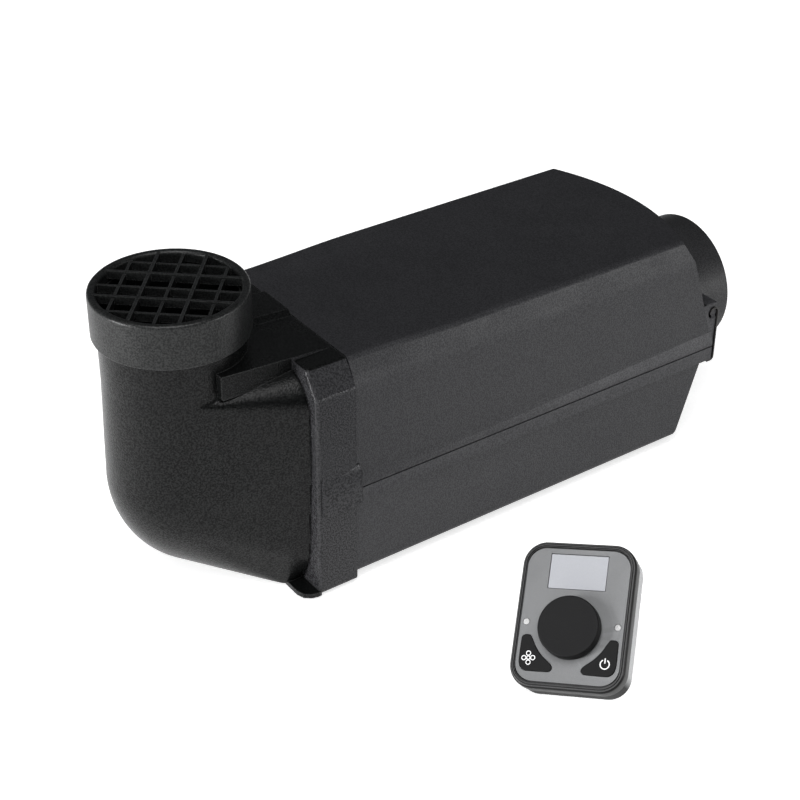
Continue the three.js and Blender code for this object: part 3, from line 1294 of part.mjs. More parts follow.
const overheatSensor = () => box(
  -SENSOR_HALF_WIDTH, SENSOR_HALF_WIDTH, SENSOR_Y - SENSOR_LENGTH / 2, SENSOR_Y + SENSOR_LENGTH / 2,
  sensorBottom, sensorTop,
);

function sensorClip() {
  const leg = SENSOR_HALF_WIDTH + 0.4;
  const top = sensorTop + SEAT_GAP;
  const foot = SENSOR_SEAT + SEAT_GAP;
  const steel = SENSOR_CLIP_STEEL;
  const shape = outline([
    [-leg - steel - 3, foot], [-leg, foot], [-leg, top], [leg, top], [leg, foot], [leg + steel + 3, foot],
    [leg + steel + 3, foot + steel], [leg + steel, foot + steel], [leg + steel, top + steel],
    [-leg - steel, top + steel], [-leg - steel, foot + steel], [-leg - steel - 3, foot + steel],
  ]);
  return prism(shape, 'y', SENSOR_Y - SENSOR_CLIP_LENGTH / 2, SENSOR_Y + SENSOR_CLIP_LENGTH / 2);
}

function sensorLead() {
  const x = -28;
  const z = unitFloor + 10;
  const high = AXIS_HEIGHT + FIN_RADIUS + 6;
  const sensorMiddle = sensorBottom + SENSOR_HEIGHT / 2;
  const front = SENSOR_Y - SENSOR_LENGTH / 2 - SEAT_GAP;
  return lead([
    [x, unitEnd + SEAT_GAP, z], [x, unitEnd + 6, z], [x + 4, unitEnd + 24, high],
    [x + 10, SENSOR_Y - 44, high], [-8, front - 16, high - 3], [-1, front - 8, sensorMiddle + 1],
    [0, front - 4, sensorMiddle], [0, front, sensorMiddle],
  ], LEAD_RADIUS, 6, 24);
}

function glowPlugLead() {
  const z = unitFloor + 10;
  const seat = PLUG_SEAT + SEAT_GAP;
  const top = seat + PLUG_HEX_HEIGHT + PLUG_TERMINAL + SEAT_GAP;
  return lead([
    [16, unitEnd + SEAT_GAP, z], [16, unitEnd + 4, z], [11, PLUG_Y - 5, top + 6],
    [3, PLUG_Y - 1, top + 7], [0, PLUG_Y, top + 4], [0, PLUG_Y, top],
  ], LEAD_RADIUS, 6, 16);
}

function harnessLead() {
  const y = GROMMET_POSITION;
  const side = -INNER_HALF + HARNESS_RADIUS + 2;
  const top = unitFloor + 9;
  const end = CASING_WALL + GROMMET_FLANGE + 2 * SEAT_GAP;
  return lead([
    [-UNIT_HALF_WIDTH - SEAT_GAP, y + 4, top], [-UNIT_HALF_WIDTH - 5, y + 4, top],
    [side + 3, y + 4, top - 14], [side, y + 3, AXIS_HEIGHT + 20], [side, y + 1, SEAM_HEIGHT - 20],
    [side + 2, y, 24], [GROMMET_SIDE, y, end + 8], [GROMMET_SIDE, y, end],
  ], HARNESS_RADIUS, 8, 24);
}

function harnessGrommet() {
  const waist = GROMMET_HOLE - SEAT_GAP;
  const wide = GROMMET_HOLE + GROMMET_FLANGE;
  return turned([
    [GROMMET_BORE, -SEAT_GAP - 2], [wide - 1, -SEAT_GAP - 2], [wide - 1, -SEAT_GAP], [waist, -SEAT_GAP],
    [waist, CASING_WALL + SEAT_GAP], [wide, CASING_WALL + SEAT_GAP],
    [wide - 1, CASING_WALL + SEAT_GAP + GROMMET_FLANGE - 0.3],
    [GROMMET_BORE, CASING_WALL + SEAT_GAP + GROMMET_FLANGE - 0.3],
  ], 'z', [GROMMET_SIDE, GROMMET_POSITION]);
}

// ---------------------------------------------------------------- controller

function controllerBezel() {
  const round = BEZEL_ROUND;
  const shape = roundedRectangle(BEZEL_WIDTH - 2 * round, BEZEL_HEIGHT - 2 * round, BEZEL_CORNER - round);
  const blank = new THREE.ExtrudeGeometry(shape, {
    depth: BEZEL_DEPTH + BEZEL_PROUD - 2 * round, bevelEnabled: true, bevelSize: round,
    bevelThickness: round, bevelSegments: 2, curveSegments: 6,
  }).translate(0, 0, round - BEZEL_DEPTH);
  const seatFloor = -PLATE_THICKNESS - SEAT_GAP;
  const seat = prism(
    roundedRectangle(PLATE_WIDTH + 2 * SEAT_GAP, PLATE_HEIGHT + 2 * SEAT_GAP, PLATE_CORNER + SEAT_GAP),
    'z', seatFloor, BEZEL_PROUD + 1,
  );
  const window = prism(
    roundedRectangle(PLATE_WIDTH - 2 * BEZEL_LIP, PLATE_HEIGHT - 2 * BEZEL_LIP, PLATE_CORNER - BEZEL_LIP),
    'z', -BEZEL_DEPTH - 1, 0,
  );
  const room = prism(
    roundedRectangle(BEZEL_WIDTH - 2 * BEZEL_WALL, BEZEL_HEIGHT - 2 * BEZEL_WALL, BEZEL_CORNER - BEZEL_WALL),
    'z', -BEZEL_DEPTH - 1, seatFloor - BEZEL_WALL,
  );
  const bosses = backScrewPlaces().map(([x, y]) => rod(
    'z', BACK_SCREW_RADIUS + 1.4, -BEZEL_DEPTH - 5, seatFloor - 0.4, [x, y], SMALL_SIDES,
  ));
  const holes = backScrewPlaces().map((at) => rod(
    'z', BACK_SCREW_RADIUS + 0.2, -BEZEL_DEPTH - 6, seatFloor - 2, at, 8,
  ));
  return cut(join(cut(solid(blank), seat, window, room), ...bosses), ...holes);
}

const backScrewPlaces = () => [[BACK_SCREW_X, BACK_SCREW_Y], [-BACK_SCREW_X, -BACK_SCREW_Y]];

/** Outline of a button: two straight outer sides and an arc round the knob. */
function buttonOutline(side, grow) {
  const arc = BUTTON_ARC_RADIUS - grow;
  const [outer, top, bottom] = [BUTTON_HALF_SPAN + grow, BUTTON_TOP + grow, BUTTON_BOTTOM - grow];
  const topDrop = KNOB_CENTRE_Y - top;
  const bottomDrop = KNOB_CENTRE_Y - bottom;
  const from = Math.asin(topDrop / arc);
  const to = bottomDrop < arc ? Math.asin(bottomDrop / arc) : Math.PI / 2;
  const round = BUTTON_ROUND;
  const points = [];
  const steps = 6;
  const inset = radians(5);
  for (let i = 0; i <= steps; i += 1) {
    const turn = from + inset + (i / steps) * (Math.min(to, radians(68)) - inset - from - inset);
    points.push([arc * Math.cos(turn), KNOB_CENTRE_Y - arc * Math.sin(turn)]);
  }
  const first = points[0];
  const last = points[points.length - 1];
  points.push([last[0] - 0.6, last[1] - round * 0.9], [last[0] + round * 0.4, bottom]);
  points.push([outer - 2 * round, bottom], [outer - 0.6 * round, bottom + 0.6 * round]);
  points.push([outer, bottom + 2 * round], [outer, top - round], [outer - round, top]);
  points.push([first[0] + round * 0.5, top - 0.1]);
  const placed = points.map(([x, y]) => [side * x, y]);
  return outline(side > 0 ? placed.reverse() : placed);
}

function facePlate() {
  const plate = prism(roundedRectangle(PLATE_WIDTH, PLATE_HEIGHT, PLATE_CORNER), 'z', -PLATE_THICKNESS, 0);
  const low = -PLATE_THICKNESS - 1;
  const window = box(
    -DISPLAY_WIDTH / 2 - SEAT_GAP, DISPLAY_WIDTH / 2 + SEAT_GAP,
    DISPLAY_CENTRE_Y - DISPLAY_HEIGHT / 2 - SEAT_GAP, DISPLAY_CENTRE_Y + DISPLAY_HEIGHT / 2 + SEAT_GAP,
    low, 1,
  );
  return cut(
    plate, window,
    rod('z', ENCODER_SHAFT_RADIUS + 2, low, 1, [0, KNOB_CENTRE_Y]),
    prism(buttonOutline(1, SEAT_GAP), 'z', low, 1),
    prism(buttonOutline(-1, SEAT_GAP), 'z', low, 1),
    rod('z', LENS_RADIUS + 0.2, low, 1, [LENS_SIDE, LENS_Y], SMALL_SIDES),
    rod('z', LENS_RADIUS + 0.2, low, 1, [-LENS_SIDE, LENS_Y], SMALL_SIDES),
  );
}

const displayBox = (grow, z0, z1) => box(
  -DISPLAY_WIDTH / 2 - grow, DISPLAY_WIDTH / 2 + grow,
  DISPLAY_CENTRE_Y - DISPLAY_HEIGHT / 2 - grow, DISPLAY_CENTRE_Y + DISPLAY_HEIGHT / 2 + grow, z0, z1,
);

function controllerBack() {
  const width = BEZEL_WIDTH - 2 * BACK_INSET;
  const height = BEZEL_HEIGHT - 2 * BACK_INSET;
  const corner = BEZEL_CORNER - BACK_INSET;
  const top = -BEZEL_DEPTH - SEAT_GAP;
  const shape = roundedRectangle(width - 4, height - 4, corner - 2);
  const blank = new THREE.ExtrudeGeometry(shape, {
    depth: BACK_DEPTH - 2, bevelEnabled: true, bevelSize: 2, bevelThickness: 2, bevelSegments: 2,
    curveSegments: 6,
  }).translate(0, 0, BACK_FLOOR + 2);
  const trim = box(-width, width, -height, height, top, top + 10);
  const room = prism(
    roundedRectangle(width - 2 * BACK_WALL, height - 2 * BACK_WALL, corner - BACK_WALL),
    'z', BACK_FLOOR + BACK_WALL, top + 1,
  );
  const screwHoles = backScrewPlaces().map((at) => rod(
    'z', BACK_SCREW_RADIUS + SEAT_GAP, BACK_FLOOR - 1, top, at, 8,
  ));
  const posts = [-1, 1].map((side) => rod(
    'z', 2.5, BACK_FLOOR + 1, -BOARD_BACK - SEAT_GAP, [side * BACK_SCREW_X, -side * (BACK_SCREW_Y - 8)],
    SMALL_SIDES,
  ));
  const gland = rod('z', 3, BACK_FLOOR - 1, top, [BEZEL_WIDTH / 2 - 6, -BEZEL_HEIGHT / 3.4], SMALL_SIDES);
  return cut(join(cut(solid(blank), trim, room), ...posts), ...screwHoles, gland);
}

function cableGland() {
  const place = [BEZEL_WIDTH / 2 - 6, -BEZEL_HEIGHT / 3.4];
  return turned([
    [GROMMET_BORE, BACK_FLOOR - 4], [3.2, BACK_FLOOR - 4], [4.4, BACK_FLOOR - SEAT_GAP],
    [3 - 0.25, BACK_FLOOR - SEAT_GAP], [3 - 0.25, BACK_FLOOR + BACK_WALL],
    [GROMMET_BORE, BACK_FLOOR + BACK_WALL],
  ], 'z', place, SMALL_SIDES);
}

function controllerBoard() {
  const plate = prism(
    roundedRectangle(PLATE_WIDTH - 6, PLATE_HEIGHT - 12, 4), 'z', -BOARD_BACK, BOARD_FRONT,
  );
  const notches = backScrewPlaces().map((at) => rod(
    'z', 3.6, -BOARD_BACK - 1, BOARD_FRONT + 1, at, SMALL_SIDES,
  ));
  return cut(plate, ...notches);
}

const displayModule = () => join(
  displayBox(DISPLAY_MODULE_BORDER, -4.6, -PLATE_THICKNESS - SEAT_GAP - 0.2),
  displayBox(-4, BOARD_FRONT + SEAT_GAP, -4.5),
);

function encoderBody() {
  const place = [0, KNOB_CENTRE_Y];
  const h = ENCODER_HALF;
  const base = BOARD_FRONT + SEAT_GAP;
  const can = box(-h, h, KNOB_CENTRE_Y - h, KNOB_CENTRE_Y + h, base, -3);
  const collar = rod('z', ENCODER_SHAFT_RADIUS + 1.6, -4, -0.6, place);
  return cut(
    join(can, collar),
    rod('z', ENCODER_DRUM_RADIUS + SEAT_GAP, base + 1.2, -4.2, place),
    rod('z', ENCODER_SHAFT_RADIUS + SEAT_GAP, base + 1, 1, place),
    box(-1.5, 1.5, KNOB_CENTRE_Y - h - 1, KNOB_CENTRE_Y, base + 1.4, base + 3),
  );
}

const drumBottom = BOARD_FRONT + SEAT_GAP + 1.2 + SEAT_GAP;

const encoderDrum = () => turned([
  [ENCODER_SHAFT_RADIUS + 0.15, drumBottom], [ENCODER_DRUM_RADIUS, drumBottom],
  [ENCODER_DRUM_RADIUS, -4.2 - SEAT_GAP], [ENCODER_SHAFT_RADIUS + 0.15, -4.2 - SEAT_GAP],
], 'z', [0, KNOB_CENTRE_Y]);

function encoderShaft() {
  const bottom = drumBottom + 0.9;
  const top = KNOB_LIFT + KNOB_HEIGHT - 2.6;
  return turned([
    [0, bottom], [ENCODER_SHAFT_RADIUS, bottom], [ENCODER_SHAFT_RADIUS, top - 0.5],
    [ENCODER_SHAFT_RADIUS - 0.5, top], [0, top],
  ], 'z', [0, KNOB_CENTRE_Y]);
}

function controlKnob() {
  const bore = ENCODER_SHAFT_RADIUS + 0.1;
  const top = KNOB_LIFT + KNOB_HEIGHT;
  const roof = top - 2.4;
  return turned([
    [0, roof], [bore, roof], [bore, KNOB_LIFT + 0.4], [KNOB_HUB_RADIUS, KNOB_LIFT + 0.4],
    [KNOB_HUB_RADIUS, roof], [KNOB_RADIUS - KNOB_WALL, roof], [KNOB_RADIUS - KNOB_WALL, KNOB_LIFT],
    [KNOB_RADIUS, KNOB_LIFT], [KNOB_RADIUS - 0.5, top - KNOB_CHAMFER],
    [KNOB_RADIUS - 0.5 - KNOB_CHAMFER, top], [0, top],
  ], 'z', [0, KNOB_CENTRE_Y], 40);
}

const button = (side) => prism(buttonOutline(side, 0), 'z', -BUTTON_DEPTH, BUTTON_PROUD);

function buttonSwitch(side) {
  const x = side * (BUTTON_HALF_SPAN - 6.5);
  const y = BUTTON_BOTTOM + 6.5;
  const base = BOARD_FRONT + SEAT_GAP;
  return join(
    box(x - 3, x + 3, y - 3, y + 3, base, base + 3.6),
    rod('z', 1.7, base + 3, SWITCH_TOP, [x, y], SMALL_SIDES),
  );
}

function statusLens(side) {
  return turned([
    [0, BOARD_FRONT + SEAT_GAP], [LENS_RADIUS, BOARD_FRONT + SEAT_GAP],
    [LENS_RADIUS, 0.05], [LENS_RADIUS - 0.3, 0.2], [0, 0.3],
  ], 'z', [side * LENS_SIDE, LENS_Y], SMALL_SIDES);
}

function backScrew(place) {
  const head = BACK_FLOOR - SEAT_GAP;
  const tip = -PLATE_THICKNESS - SEAT_GAP - 2.5;
  return turned([
    [0, head - 1.4], [2.2, head - 1.4], [2.2, head], [BACK_SCREW_RADIUS, head],
    [BACK_SCREW_RADIUS, tip], [0, tip],
  ], 'z', place, 10);
}

const tilt = radians(CONTROLLER_TILT);
const roll = radians(CONTROLLER_ROLL);

/** Height of the face plate's centre that leaves the controller's lowest corner just off the floor. */
function controllerHeight() {
  const across = (BEZEL_WIDTH / 2 - BEZEL_CORNER) * Math.sin(roll);
  const down = (BEZEL_HEIGHT / 2 - BEZEL_CORNER) * Math.cos(roll);
  const lowest = -(across + down + BEZEL_CORNER) * Math.sin(tilt) + BACK_FLOOR * Math.cos(tilt);
  return CONTROLLER_FLOOR_GAP - lowest;
}

/** A point behind the controller's back, as [distance back, height], at a place up its face. */
function behindBack(up, depth) {
  return [
    up * Math.cos(tilt) - depth * Math.sin(tilt),
    controllerHeight() + up * Math.sin(tilt) + depth * Math.cos(tilt),
  ];
}

/** The bracket that holds the controller at its slope: sloped plate, base and two cheeks. */
function controllerBracket() {
  const [seat, inside] = [BACK_FLOOR - SEAT_GAP, BACK_FLOOR - SEAT_GAP - BRACKET_WALL];
  const low = behindBack(BRACKET_LOW, seat);
  const high = behindBack(BRACKET_HIGH, seat);
  const rear = low[0] + BRACKET_BASE_LENGTH;
  const outer = outline([[low[0], 0], [rear, 0], [high[0] + 2, high[1] - 1], high, low]);
  const innerLow = behindBack(BRACKET_LOW + 2, inside);
  const innerHigh = behindBack(BRACKET_HIGH + 6, inside);
  const room = outline([
    [innerLow[0], BRACKET_WALL], [rear + 10, BRACKET_WALL], [rear + 10, innerHigh[1]], innerHigh, innerLow,
  ]);
  const w = BRACKET_HALF_WIDTH;
  const holes = [-1, 1].map((side) => rod(
    'z', BRACKET_HOLE_RADIUS, -1, BRACKET_WALL + 1, [side * BRACKET_HOLE_SIDE, rear - 10], SMALL_SIDES,
  ));
  return cut(
    prism(outer, 'x', -w, w),
    prism(room, 'x', -w + BRACKET_WALL, w - BRACKET_WALL),
    ...holes,
  );
}

// ---------------------------------------------------------------- assembly

add(heater, 'upper_casing', upperCasing(), 'casing');
add(heater, 'lower_casing', lowerCasing(), 'casing');
add(heater, 'inlet_elbow', inletElbow(), 'elbow');
add(heater, 'outlet_nozzle', outletNozzle(), 'casing');

const cap = add(heater, 'grille_cap', grilleCap(), 'cap');
cap.position.set(0, -RISER_SETBACK, 0);
cap.rotation.z = radians(GRILLE_TURN);

const clipOuterX = HALF + CLIP_EDGE;
add(heater, 'casing_clip_right', clipStrip(), 'dark_steel')
  .position.set(clipOuterX - CLIP_WIDTH, CLIP_PIVOT_Y, CLIP_PIVOT_HEIGHT);
add(heater, 'casing_clip_left', clipStrip(), 'dark_steel')
  .position.set(-clipOuterX, CLIP_PIVOT_Y, CLIP_PIVOT_HEIGHT);

add(heater, 'heat_exchanger', heatExchanger(), 'aluminium');
add(heater, 'exhaust_stub', stub(EXHAUST_RADIUS, EXHAUST_Y), 'steel');
add(heater, 'combustion_air_stub', stub(AIR_STUB_RADIUS, AIR_STUB_Y), 'aluminium');
add(heater, 'fuel_pipe', fuelPipe(), 'steel');
add(heater, 'flange_gasket', flangeGasket(), 'gasket');
studPlaces().forEach((place, i) => add(heater, `flange_stud_${i + 1}`, flangeStud(place), 'steel'));
add(heater, 'burner_chamber', burnerChamber(), 'dark_steel');
add(heater, 'burner_gauze', burnerGauze(), 'steel');
add(heater, 'glow_plug', glowPlug(), 'brass');

add(heater, 'blower_housing', blowerHousing(), 'aluminium');
EAR_ANGLES.forEach((angle, i) => add(heater, `blower_screw_${i + 1}`, blowerScrew(angle), 'steel'));
add(heater, 'motor_can', motorCan(), 'steel');
add(heater, 'motor_end_plate', motorEndPlate(), 'fan');
add(heater, 'front_bearing', bearing(frontBearing), 'steel');
add(heater, 'rear_bearing', bearing(rearBearing), 'steel');
add(heater, 'motor_shaft', motorShaft(), 'steel');
add(heater, 'motor_armature', armature(), 'dark_steel');
add(heater, 'hot_air_fan', hotAirFan(), 'fan');
add(heater, 'combustion_impeller', combustionImpeller(), 'fan');

add(heater, 'control_unit_case', controlUnitCase(), 'fan');
add(heater, 'control_unit_lid', controlUnitLid(), 'fan');
add(heater, 'overheat_sensor', overheatSensor(), 'brass');
add(heater, 'sensor_clip', sensorClip(), 'steel');
add(heater, 'sensor_lead', sensorLead(), 'lead');
add(heater, 'glow_plug_lead', glowPlugLead(), 'lead');
add(heater, 'harness_lead', harnessLead(), 'lead');
add(heater, 'harness_grommet', harnessGrommet(), 'rubber');

controller.position.set(CONTROLLER_X, CONTROLLER_Y - FLANGE_CENTRE, 0);
controller.rotation.z = radians(CONTROLLER_TURN);
add(controller, 'controller_bracket', controllerBracket(), 'grey');

const slope = new THREE.Group();
slope.position.z = controllerHeight();
slope.rotation.x = tilt;
controller.add(slope);
const face = new THREE.Group();
face.rotation.z = roll;
slope.add(face);
add(face, 'controller_back', controllerBack(), 'grey');
add(face, 'controller_bezel', controllerBezel(), 'bezel');
add(face, 'controller_face_plate', facePlate(), 'face');
add(face, 'display_window', displayBox(0, -PLATE_THICKNESS, -0.1), 'glass');
add(face, 'display_module', displayModule(), 'fan');
add(face, 'controller_board', controllerBoard(), 'board');
add(face, 'encoder_body', encoderBody(), 'steel');
add(face, 'encoder_drum', encoderDrum(), 'fan');
add(face, 'encoder_shaft', encoderShaft(), 'steel');
add(face, 'control_knob', controlKnob(), 'bezel');
add(face, 'fan_button', button(-1), 'bezel');
add(face, 'power_button', button(1), 'bezel');
add(face, 'fan_switch', buttonSwitch(-1), 'fan');
add(face, 'power_switch', buttonSwitch(1), 'fan');
add(face, 'status_lens_left', statusLens(-1), 'lens');
add(face, 'status_lens_right', statusLens(1), 'lens');
backScrewPlaces().forEach((place, i) => add(face, `controller_screw_${i + 1}`, backScrew(place), 'steel'));
add(face, 'controller_cable_gland', cableGland(), 'rubber');

export default diesel_air_heater;
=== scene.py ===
import json
import math

import bmesh
import bpy
from mathutils import Matrix, Vector


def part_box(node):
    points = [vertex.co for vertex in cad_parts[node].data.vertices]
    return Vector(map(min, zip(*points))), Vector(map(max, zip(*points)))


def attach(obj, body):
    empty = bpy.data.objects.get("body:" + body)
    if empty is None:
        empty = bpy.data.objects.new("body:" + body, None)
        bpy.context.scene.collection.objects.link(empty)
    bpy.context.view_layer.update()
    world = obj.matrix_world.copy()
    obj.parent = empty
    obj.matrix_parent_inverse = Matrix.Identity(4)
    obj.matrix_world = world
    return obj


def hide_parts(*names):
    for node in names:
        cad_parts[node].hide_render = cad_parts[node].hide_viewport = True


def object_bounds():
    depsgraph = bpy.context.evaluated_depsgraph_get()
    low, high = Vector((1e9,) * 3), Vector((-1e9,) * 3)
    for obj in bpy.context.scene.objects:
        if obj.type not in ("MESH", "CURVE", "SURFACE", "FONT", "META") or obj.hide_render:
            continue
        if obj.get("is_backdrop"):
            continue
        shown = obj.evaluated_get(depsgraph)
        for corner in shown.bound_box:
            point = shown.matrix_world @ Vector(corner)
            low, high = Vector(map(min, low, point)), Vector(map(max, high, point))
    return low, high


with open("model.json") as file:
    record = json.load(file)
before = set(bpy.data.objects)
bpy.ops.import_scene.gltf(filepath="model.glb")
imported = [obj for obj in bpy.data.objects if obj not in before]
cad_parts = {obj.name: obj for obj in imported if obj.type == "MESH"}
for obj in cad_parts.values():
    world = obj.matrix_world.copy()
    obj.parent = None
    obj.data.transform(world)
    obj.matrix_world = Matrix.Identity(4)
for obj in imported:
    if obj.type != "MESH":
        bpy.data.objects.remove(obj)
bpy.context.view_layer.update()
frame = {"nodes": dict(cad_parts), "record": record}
scene = bpy.context.scene
rad = math.radians

# ---------------------------------------------------------------- frames of the heater and the controller
MILLI = Matrix.Scale(0.001, 4)
LIFT = 6.0
FLANGE_Y = 105.0
HEATER = MILLI @ Matrix.Translation((0, -FLANGE_Y, LIFT))
HANDSET_X, HANDSET_Y = 213.5, 46.7
TURN, TILT, ROLL = rad(21), rad(39.5), rad(17.9)
BEZEL_W, BEZEL_H, BEZEL_R = 65.8, 83.8, 13.5
BEZEL_DEPTH, GAP, HOUSING_DEPTH = 9.5, 0.3, 12.6
BACK_FLOOR = -BEZEL_DEPTH - GAP - HOUSING_DEPTH
FOOT_LIFT = 1.6


def controller_height():
    """How far the middle of the controller's face lies above the ground."""
    across = (BEZEL_W / 2 - BEZEL_R) * math.sin(ROLL)
    down = (BEZEL_H / 2 - BEZEL_R) * math.cos(ROLL)
    return FOOT_LIFT + (across + down + BEZEL_R) * math.sin(TILT) - BACK_FLOOR * math.cos(TILT)


STAND = MILLI @ Matrix.Translation((HANDSET_X, HANDSET_Y - FLANGE_Y, 0)) @ Matrix.Rotation(TURN, 4, "Z")
FACE = (
    STAND
    @ Matrix.Translation((0, 0, controller_height()))
    @ Matrix.Rotation(TILT, 4, "X")
    @ Matrix.Rotation(ROLL, 4, "Z")
)


# ---------------------------------------------------------------- solids, in millimetres
def new_object(bm, name="solid"):
    bmesh.ops.remove_doubles(bm, verts=bm.verts, dist=1e-4)
    bmesh.ops.recalc_face_normals(bm, faces=bm.faces)
    mesh = bpy.data.meshes.new(name)
    bm.to_mesh(mesh)
    bm.free()
    obj = bpy.data.objects.new(name, mesh)
    scene.collection.objects.link(obj)
    return obj


def rings(loops, wrap=False):
    """A closed solid through loops that all have the same number of points."""
    bm = bmesh.new()
    rows = [[bm.verts.new(p) for p in loop] for loop in loops]
    n = len(rows[0])
    pairs = list(zip(rows, rows[1:]))
    if wrap:
        pairs.append((rows[-1], rows[0]))
    for low, high in pairs:
        for j in range(n):
            k = (j + 1) % n
            bm.faces.new((low[j], low[k], high[k], high[j]))
    if not wrap:
        bm.faces.new(rows[0][::-1])
        bm.faces.new(rows[-1])
    return new_object(bm)


def placed(axis, u, v, t):
    """A point from two coordinates across an axis and one along it."""
    return {"x": (t, u, v), "y": (u, t, v), "z": (u, v, t)}[axis]


def prism(points, axis, low, high, steps=1):
    """Points drawn in (Y, Z) for x, (X, Z) for y and (X, Y) for z."""
    along = [low + (high - low) * i / steps for i in range(steps + 1)]
    return rings([[placed(axis, u, v, t) for u, v in points] for t in along])


def block(x0, x1, y0, y1, z0, z1):
    return prism([(x0, y0), (x1, y0), (x1, y1), (x0, y1)], "z", z0, z1)


def circle(radius, count, centre=(0, 0)):
    turns = [2 * math.pi * i / count for i in range(count)]
    return [(centre[0] + radius * math.cos(a), centre[1] + radius * math.sin(a)) for a in turns]


def rod(axis, radius, low, high, centre, count=96):
    return prism(circle(radius, count, centre), axis, low, high)


def turned(profile, axis, centre, count=128):
    """Profile is a closed run of (radius, distance along the axis)."""
    loops = []
    for i in range(count):
        a = 2 * math.pi * i / count
        loops.append([
            placed(axis, centre[0] + r * math.cos(a), centre[1] + r * math.sin(a), t) for r, t in profile
        ])
    bm = bmesh.new()
    rows = [[bm.verts.new(p) for p in loop] for loop in loops]
    n = len(profile)
    for i in range(count):
        a, b = rows[i], rows[(i + 1) % count]
        for j in range(n):
            k = (j + 1) % n
            if profile[j][0] < 1e-6 and profile[k][0] < 1e-6:
                continue
            corners = [a[j], a[k]]
            corners += [b[k]] if profile[k][0] > 1e-6 else []
            corners += [b[j]] if profile[j][0] > 1e-6 else []
            if len(corners) > 2:
                bm.faces.new(corners)
    return new_object(bm)


def hull(points):
    """The convex solid round a cloud of points."""
    bm = bmesh.new()
    for p in points:
        bm.verts.new(p)
    made = bmesh.ops.convex_hull(bm, input=bm.verts)
    loose = {g for g in made["geom_interior"] + made["geom_unused"] if isinstance(g, bmesh.types.BMVert)}
    bmesh.ops.delete(bm, geom=list(loose), context="VERTS")
    return new_object(bm)


def baked(obj):
    """Replaces an object's mesh by what its modifiers make of it."""
    made = bpy.data.meshes.new_from_object(obj.evaluated_get(bpy.context.evaluated_depsgraph_get()))
    obj.modifiers.clear()
    obj.data = made
    return obj


def combine(operation, base, tools):
    for tool in tools:
        m = base.modifiers.new("combine", "BOOLEAN")
        m.operation, m.solver, m.object = operation, "MANIFOLD", tool
    baked(base)
    for tool in tools:
        bpy.data.objects.remove(tool)
    return base


def join(base, *tools):
    return combine("UNION", base, tools)


def cut(base, *tools):
    return combine("DIFFERENCE", base, tools)


def common(base, *tools):
    return combine("INTERSECT", base, tools)


def mirrored(obj):
    """A copy of a solid on the other side of the heater's centre plane."""
    bm = bmesh.new()
    bm.from_mesh(obj.data)
    bmesh.ops.scale(bm, vec=(-1, 1, 1), verts=bm.verts)
    bmesh.ops.reverse_faces(bm, faces=bm.faces)
    return new_object(bm)


def smoothed(obj, voxel, rounds):
    """A solid drawn again on a fine grid and softened, for moulded bends."""
    m = obj.modifiers.new("grid", "REMESH")
    m.mode, m.voxel_size = "VOXEL", voxel
    s = obj.modifiers.new("soften", "SMOOTH")
    s.factor, s.iterations = 0.5, rounds
    return baked(obj)


def rounded(width, height, radius, centre=(0, 0), steps=12):
    """Outline of a rounded rectangle."""
    points = []
    for cx, cy, start in ((1, -1, -90), (1, 1, 0), (-1, 1, 90), (-1, -1, 180)):
        for i in range(steps + 1):
            a = rad(start + 90 * i / steps)
            points.append((
                centre[0] + cx * (width / 2 - radius) + radius * math.cos(a),
                centre[1] + cy * (height / 2 - radius) + radius * math.sin(a),
            ))
    return points


def finish(obj, name, body, nodes, look, matrix, width=0.5, angle=30, segments=3, crease=35):
    """Gives a solid its name, place, rounded edges and material, and hides the CAD nodes that it stands for."""
    bm = bmesh.new()
    bm.from_mesh(obj.data)
    bmesh.ops.dissolve_degenerate(bm, edges=bm.edges, dist=0.002)
    bmesh.ops.dissolve_limit(bm, angle_limit=rad(0.3), verts=bm.verts, edges=bm.edges)
    bm.to_mesh(obj.data)
    bm.free()
    obj.data.transform(matrix)
    obj.data.polygons.foreach_set("use_smooth", [True] * len(obj.data.polygons))
    obj.data.set_sharp_from_angle(angle=rad(crease))
    obj.name = obj.data.name = name
    if width:
        m = obj.modifiers.new("edges", "BEVEL")
        m.width, m.segments, m.limit_method = width * 0.001, segments, "ANGLE"
        m.angle_limit = rad(angle)
        m.miter_outer = "MITER_ARC"
        m.use_clamp_overlap = True
        m.harden_normals = True
    m = obj.modifiers.new("normals", "WEIGHTED_NORMAL")
    m.keep_sharp, m.weight = True, 60
    obj.data.materials.clear()
    obj.data.materials.append(look)
    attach(obj, body)
    if nodes:
        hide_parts(*nodes)
    return obj


# ---------------------------------------------------------------- materials
# Noise mostly lies within these values, and pointiness runs from a flat face to a sharp outer edge.
SLOW, FINE = (0.3, 0.7), (0.4, 0.6)
EDGE, OUTER_EDGE = (0.55, 0.68), (0.49, 0.52)
# Cosines: a rounded normal against the true one near an edge, and a face that turns from lying to standing.
NEAR_EDGE, STANDING = (0.995, 0.93), (0.8, 0.65)
GLINTS_FROM = 0.15
# The colour of painted shade.
PAINTED_SHADE = (0.003, 0.003, 0.003)


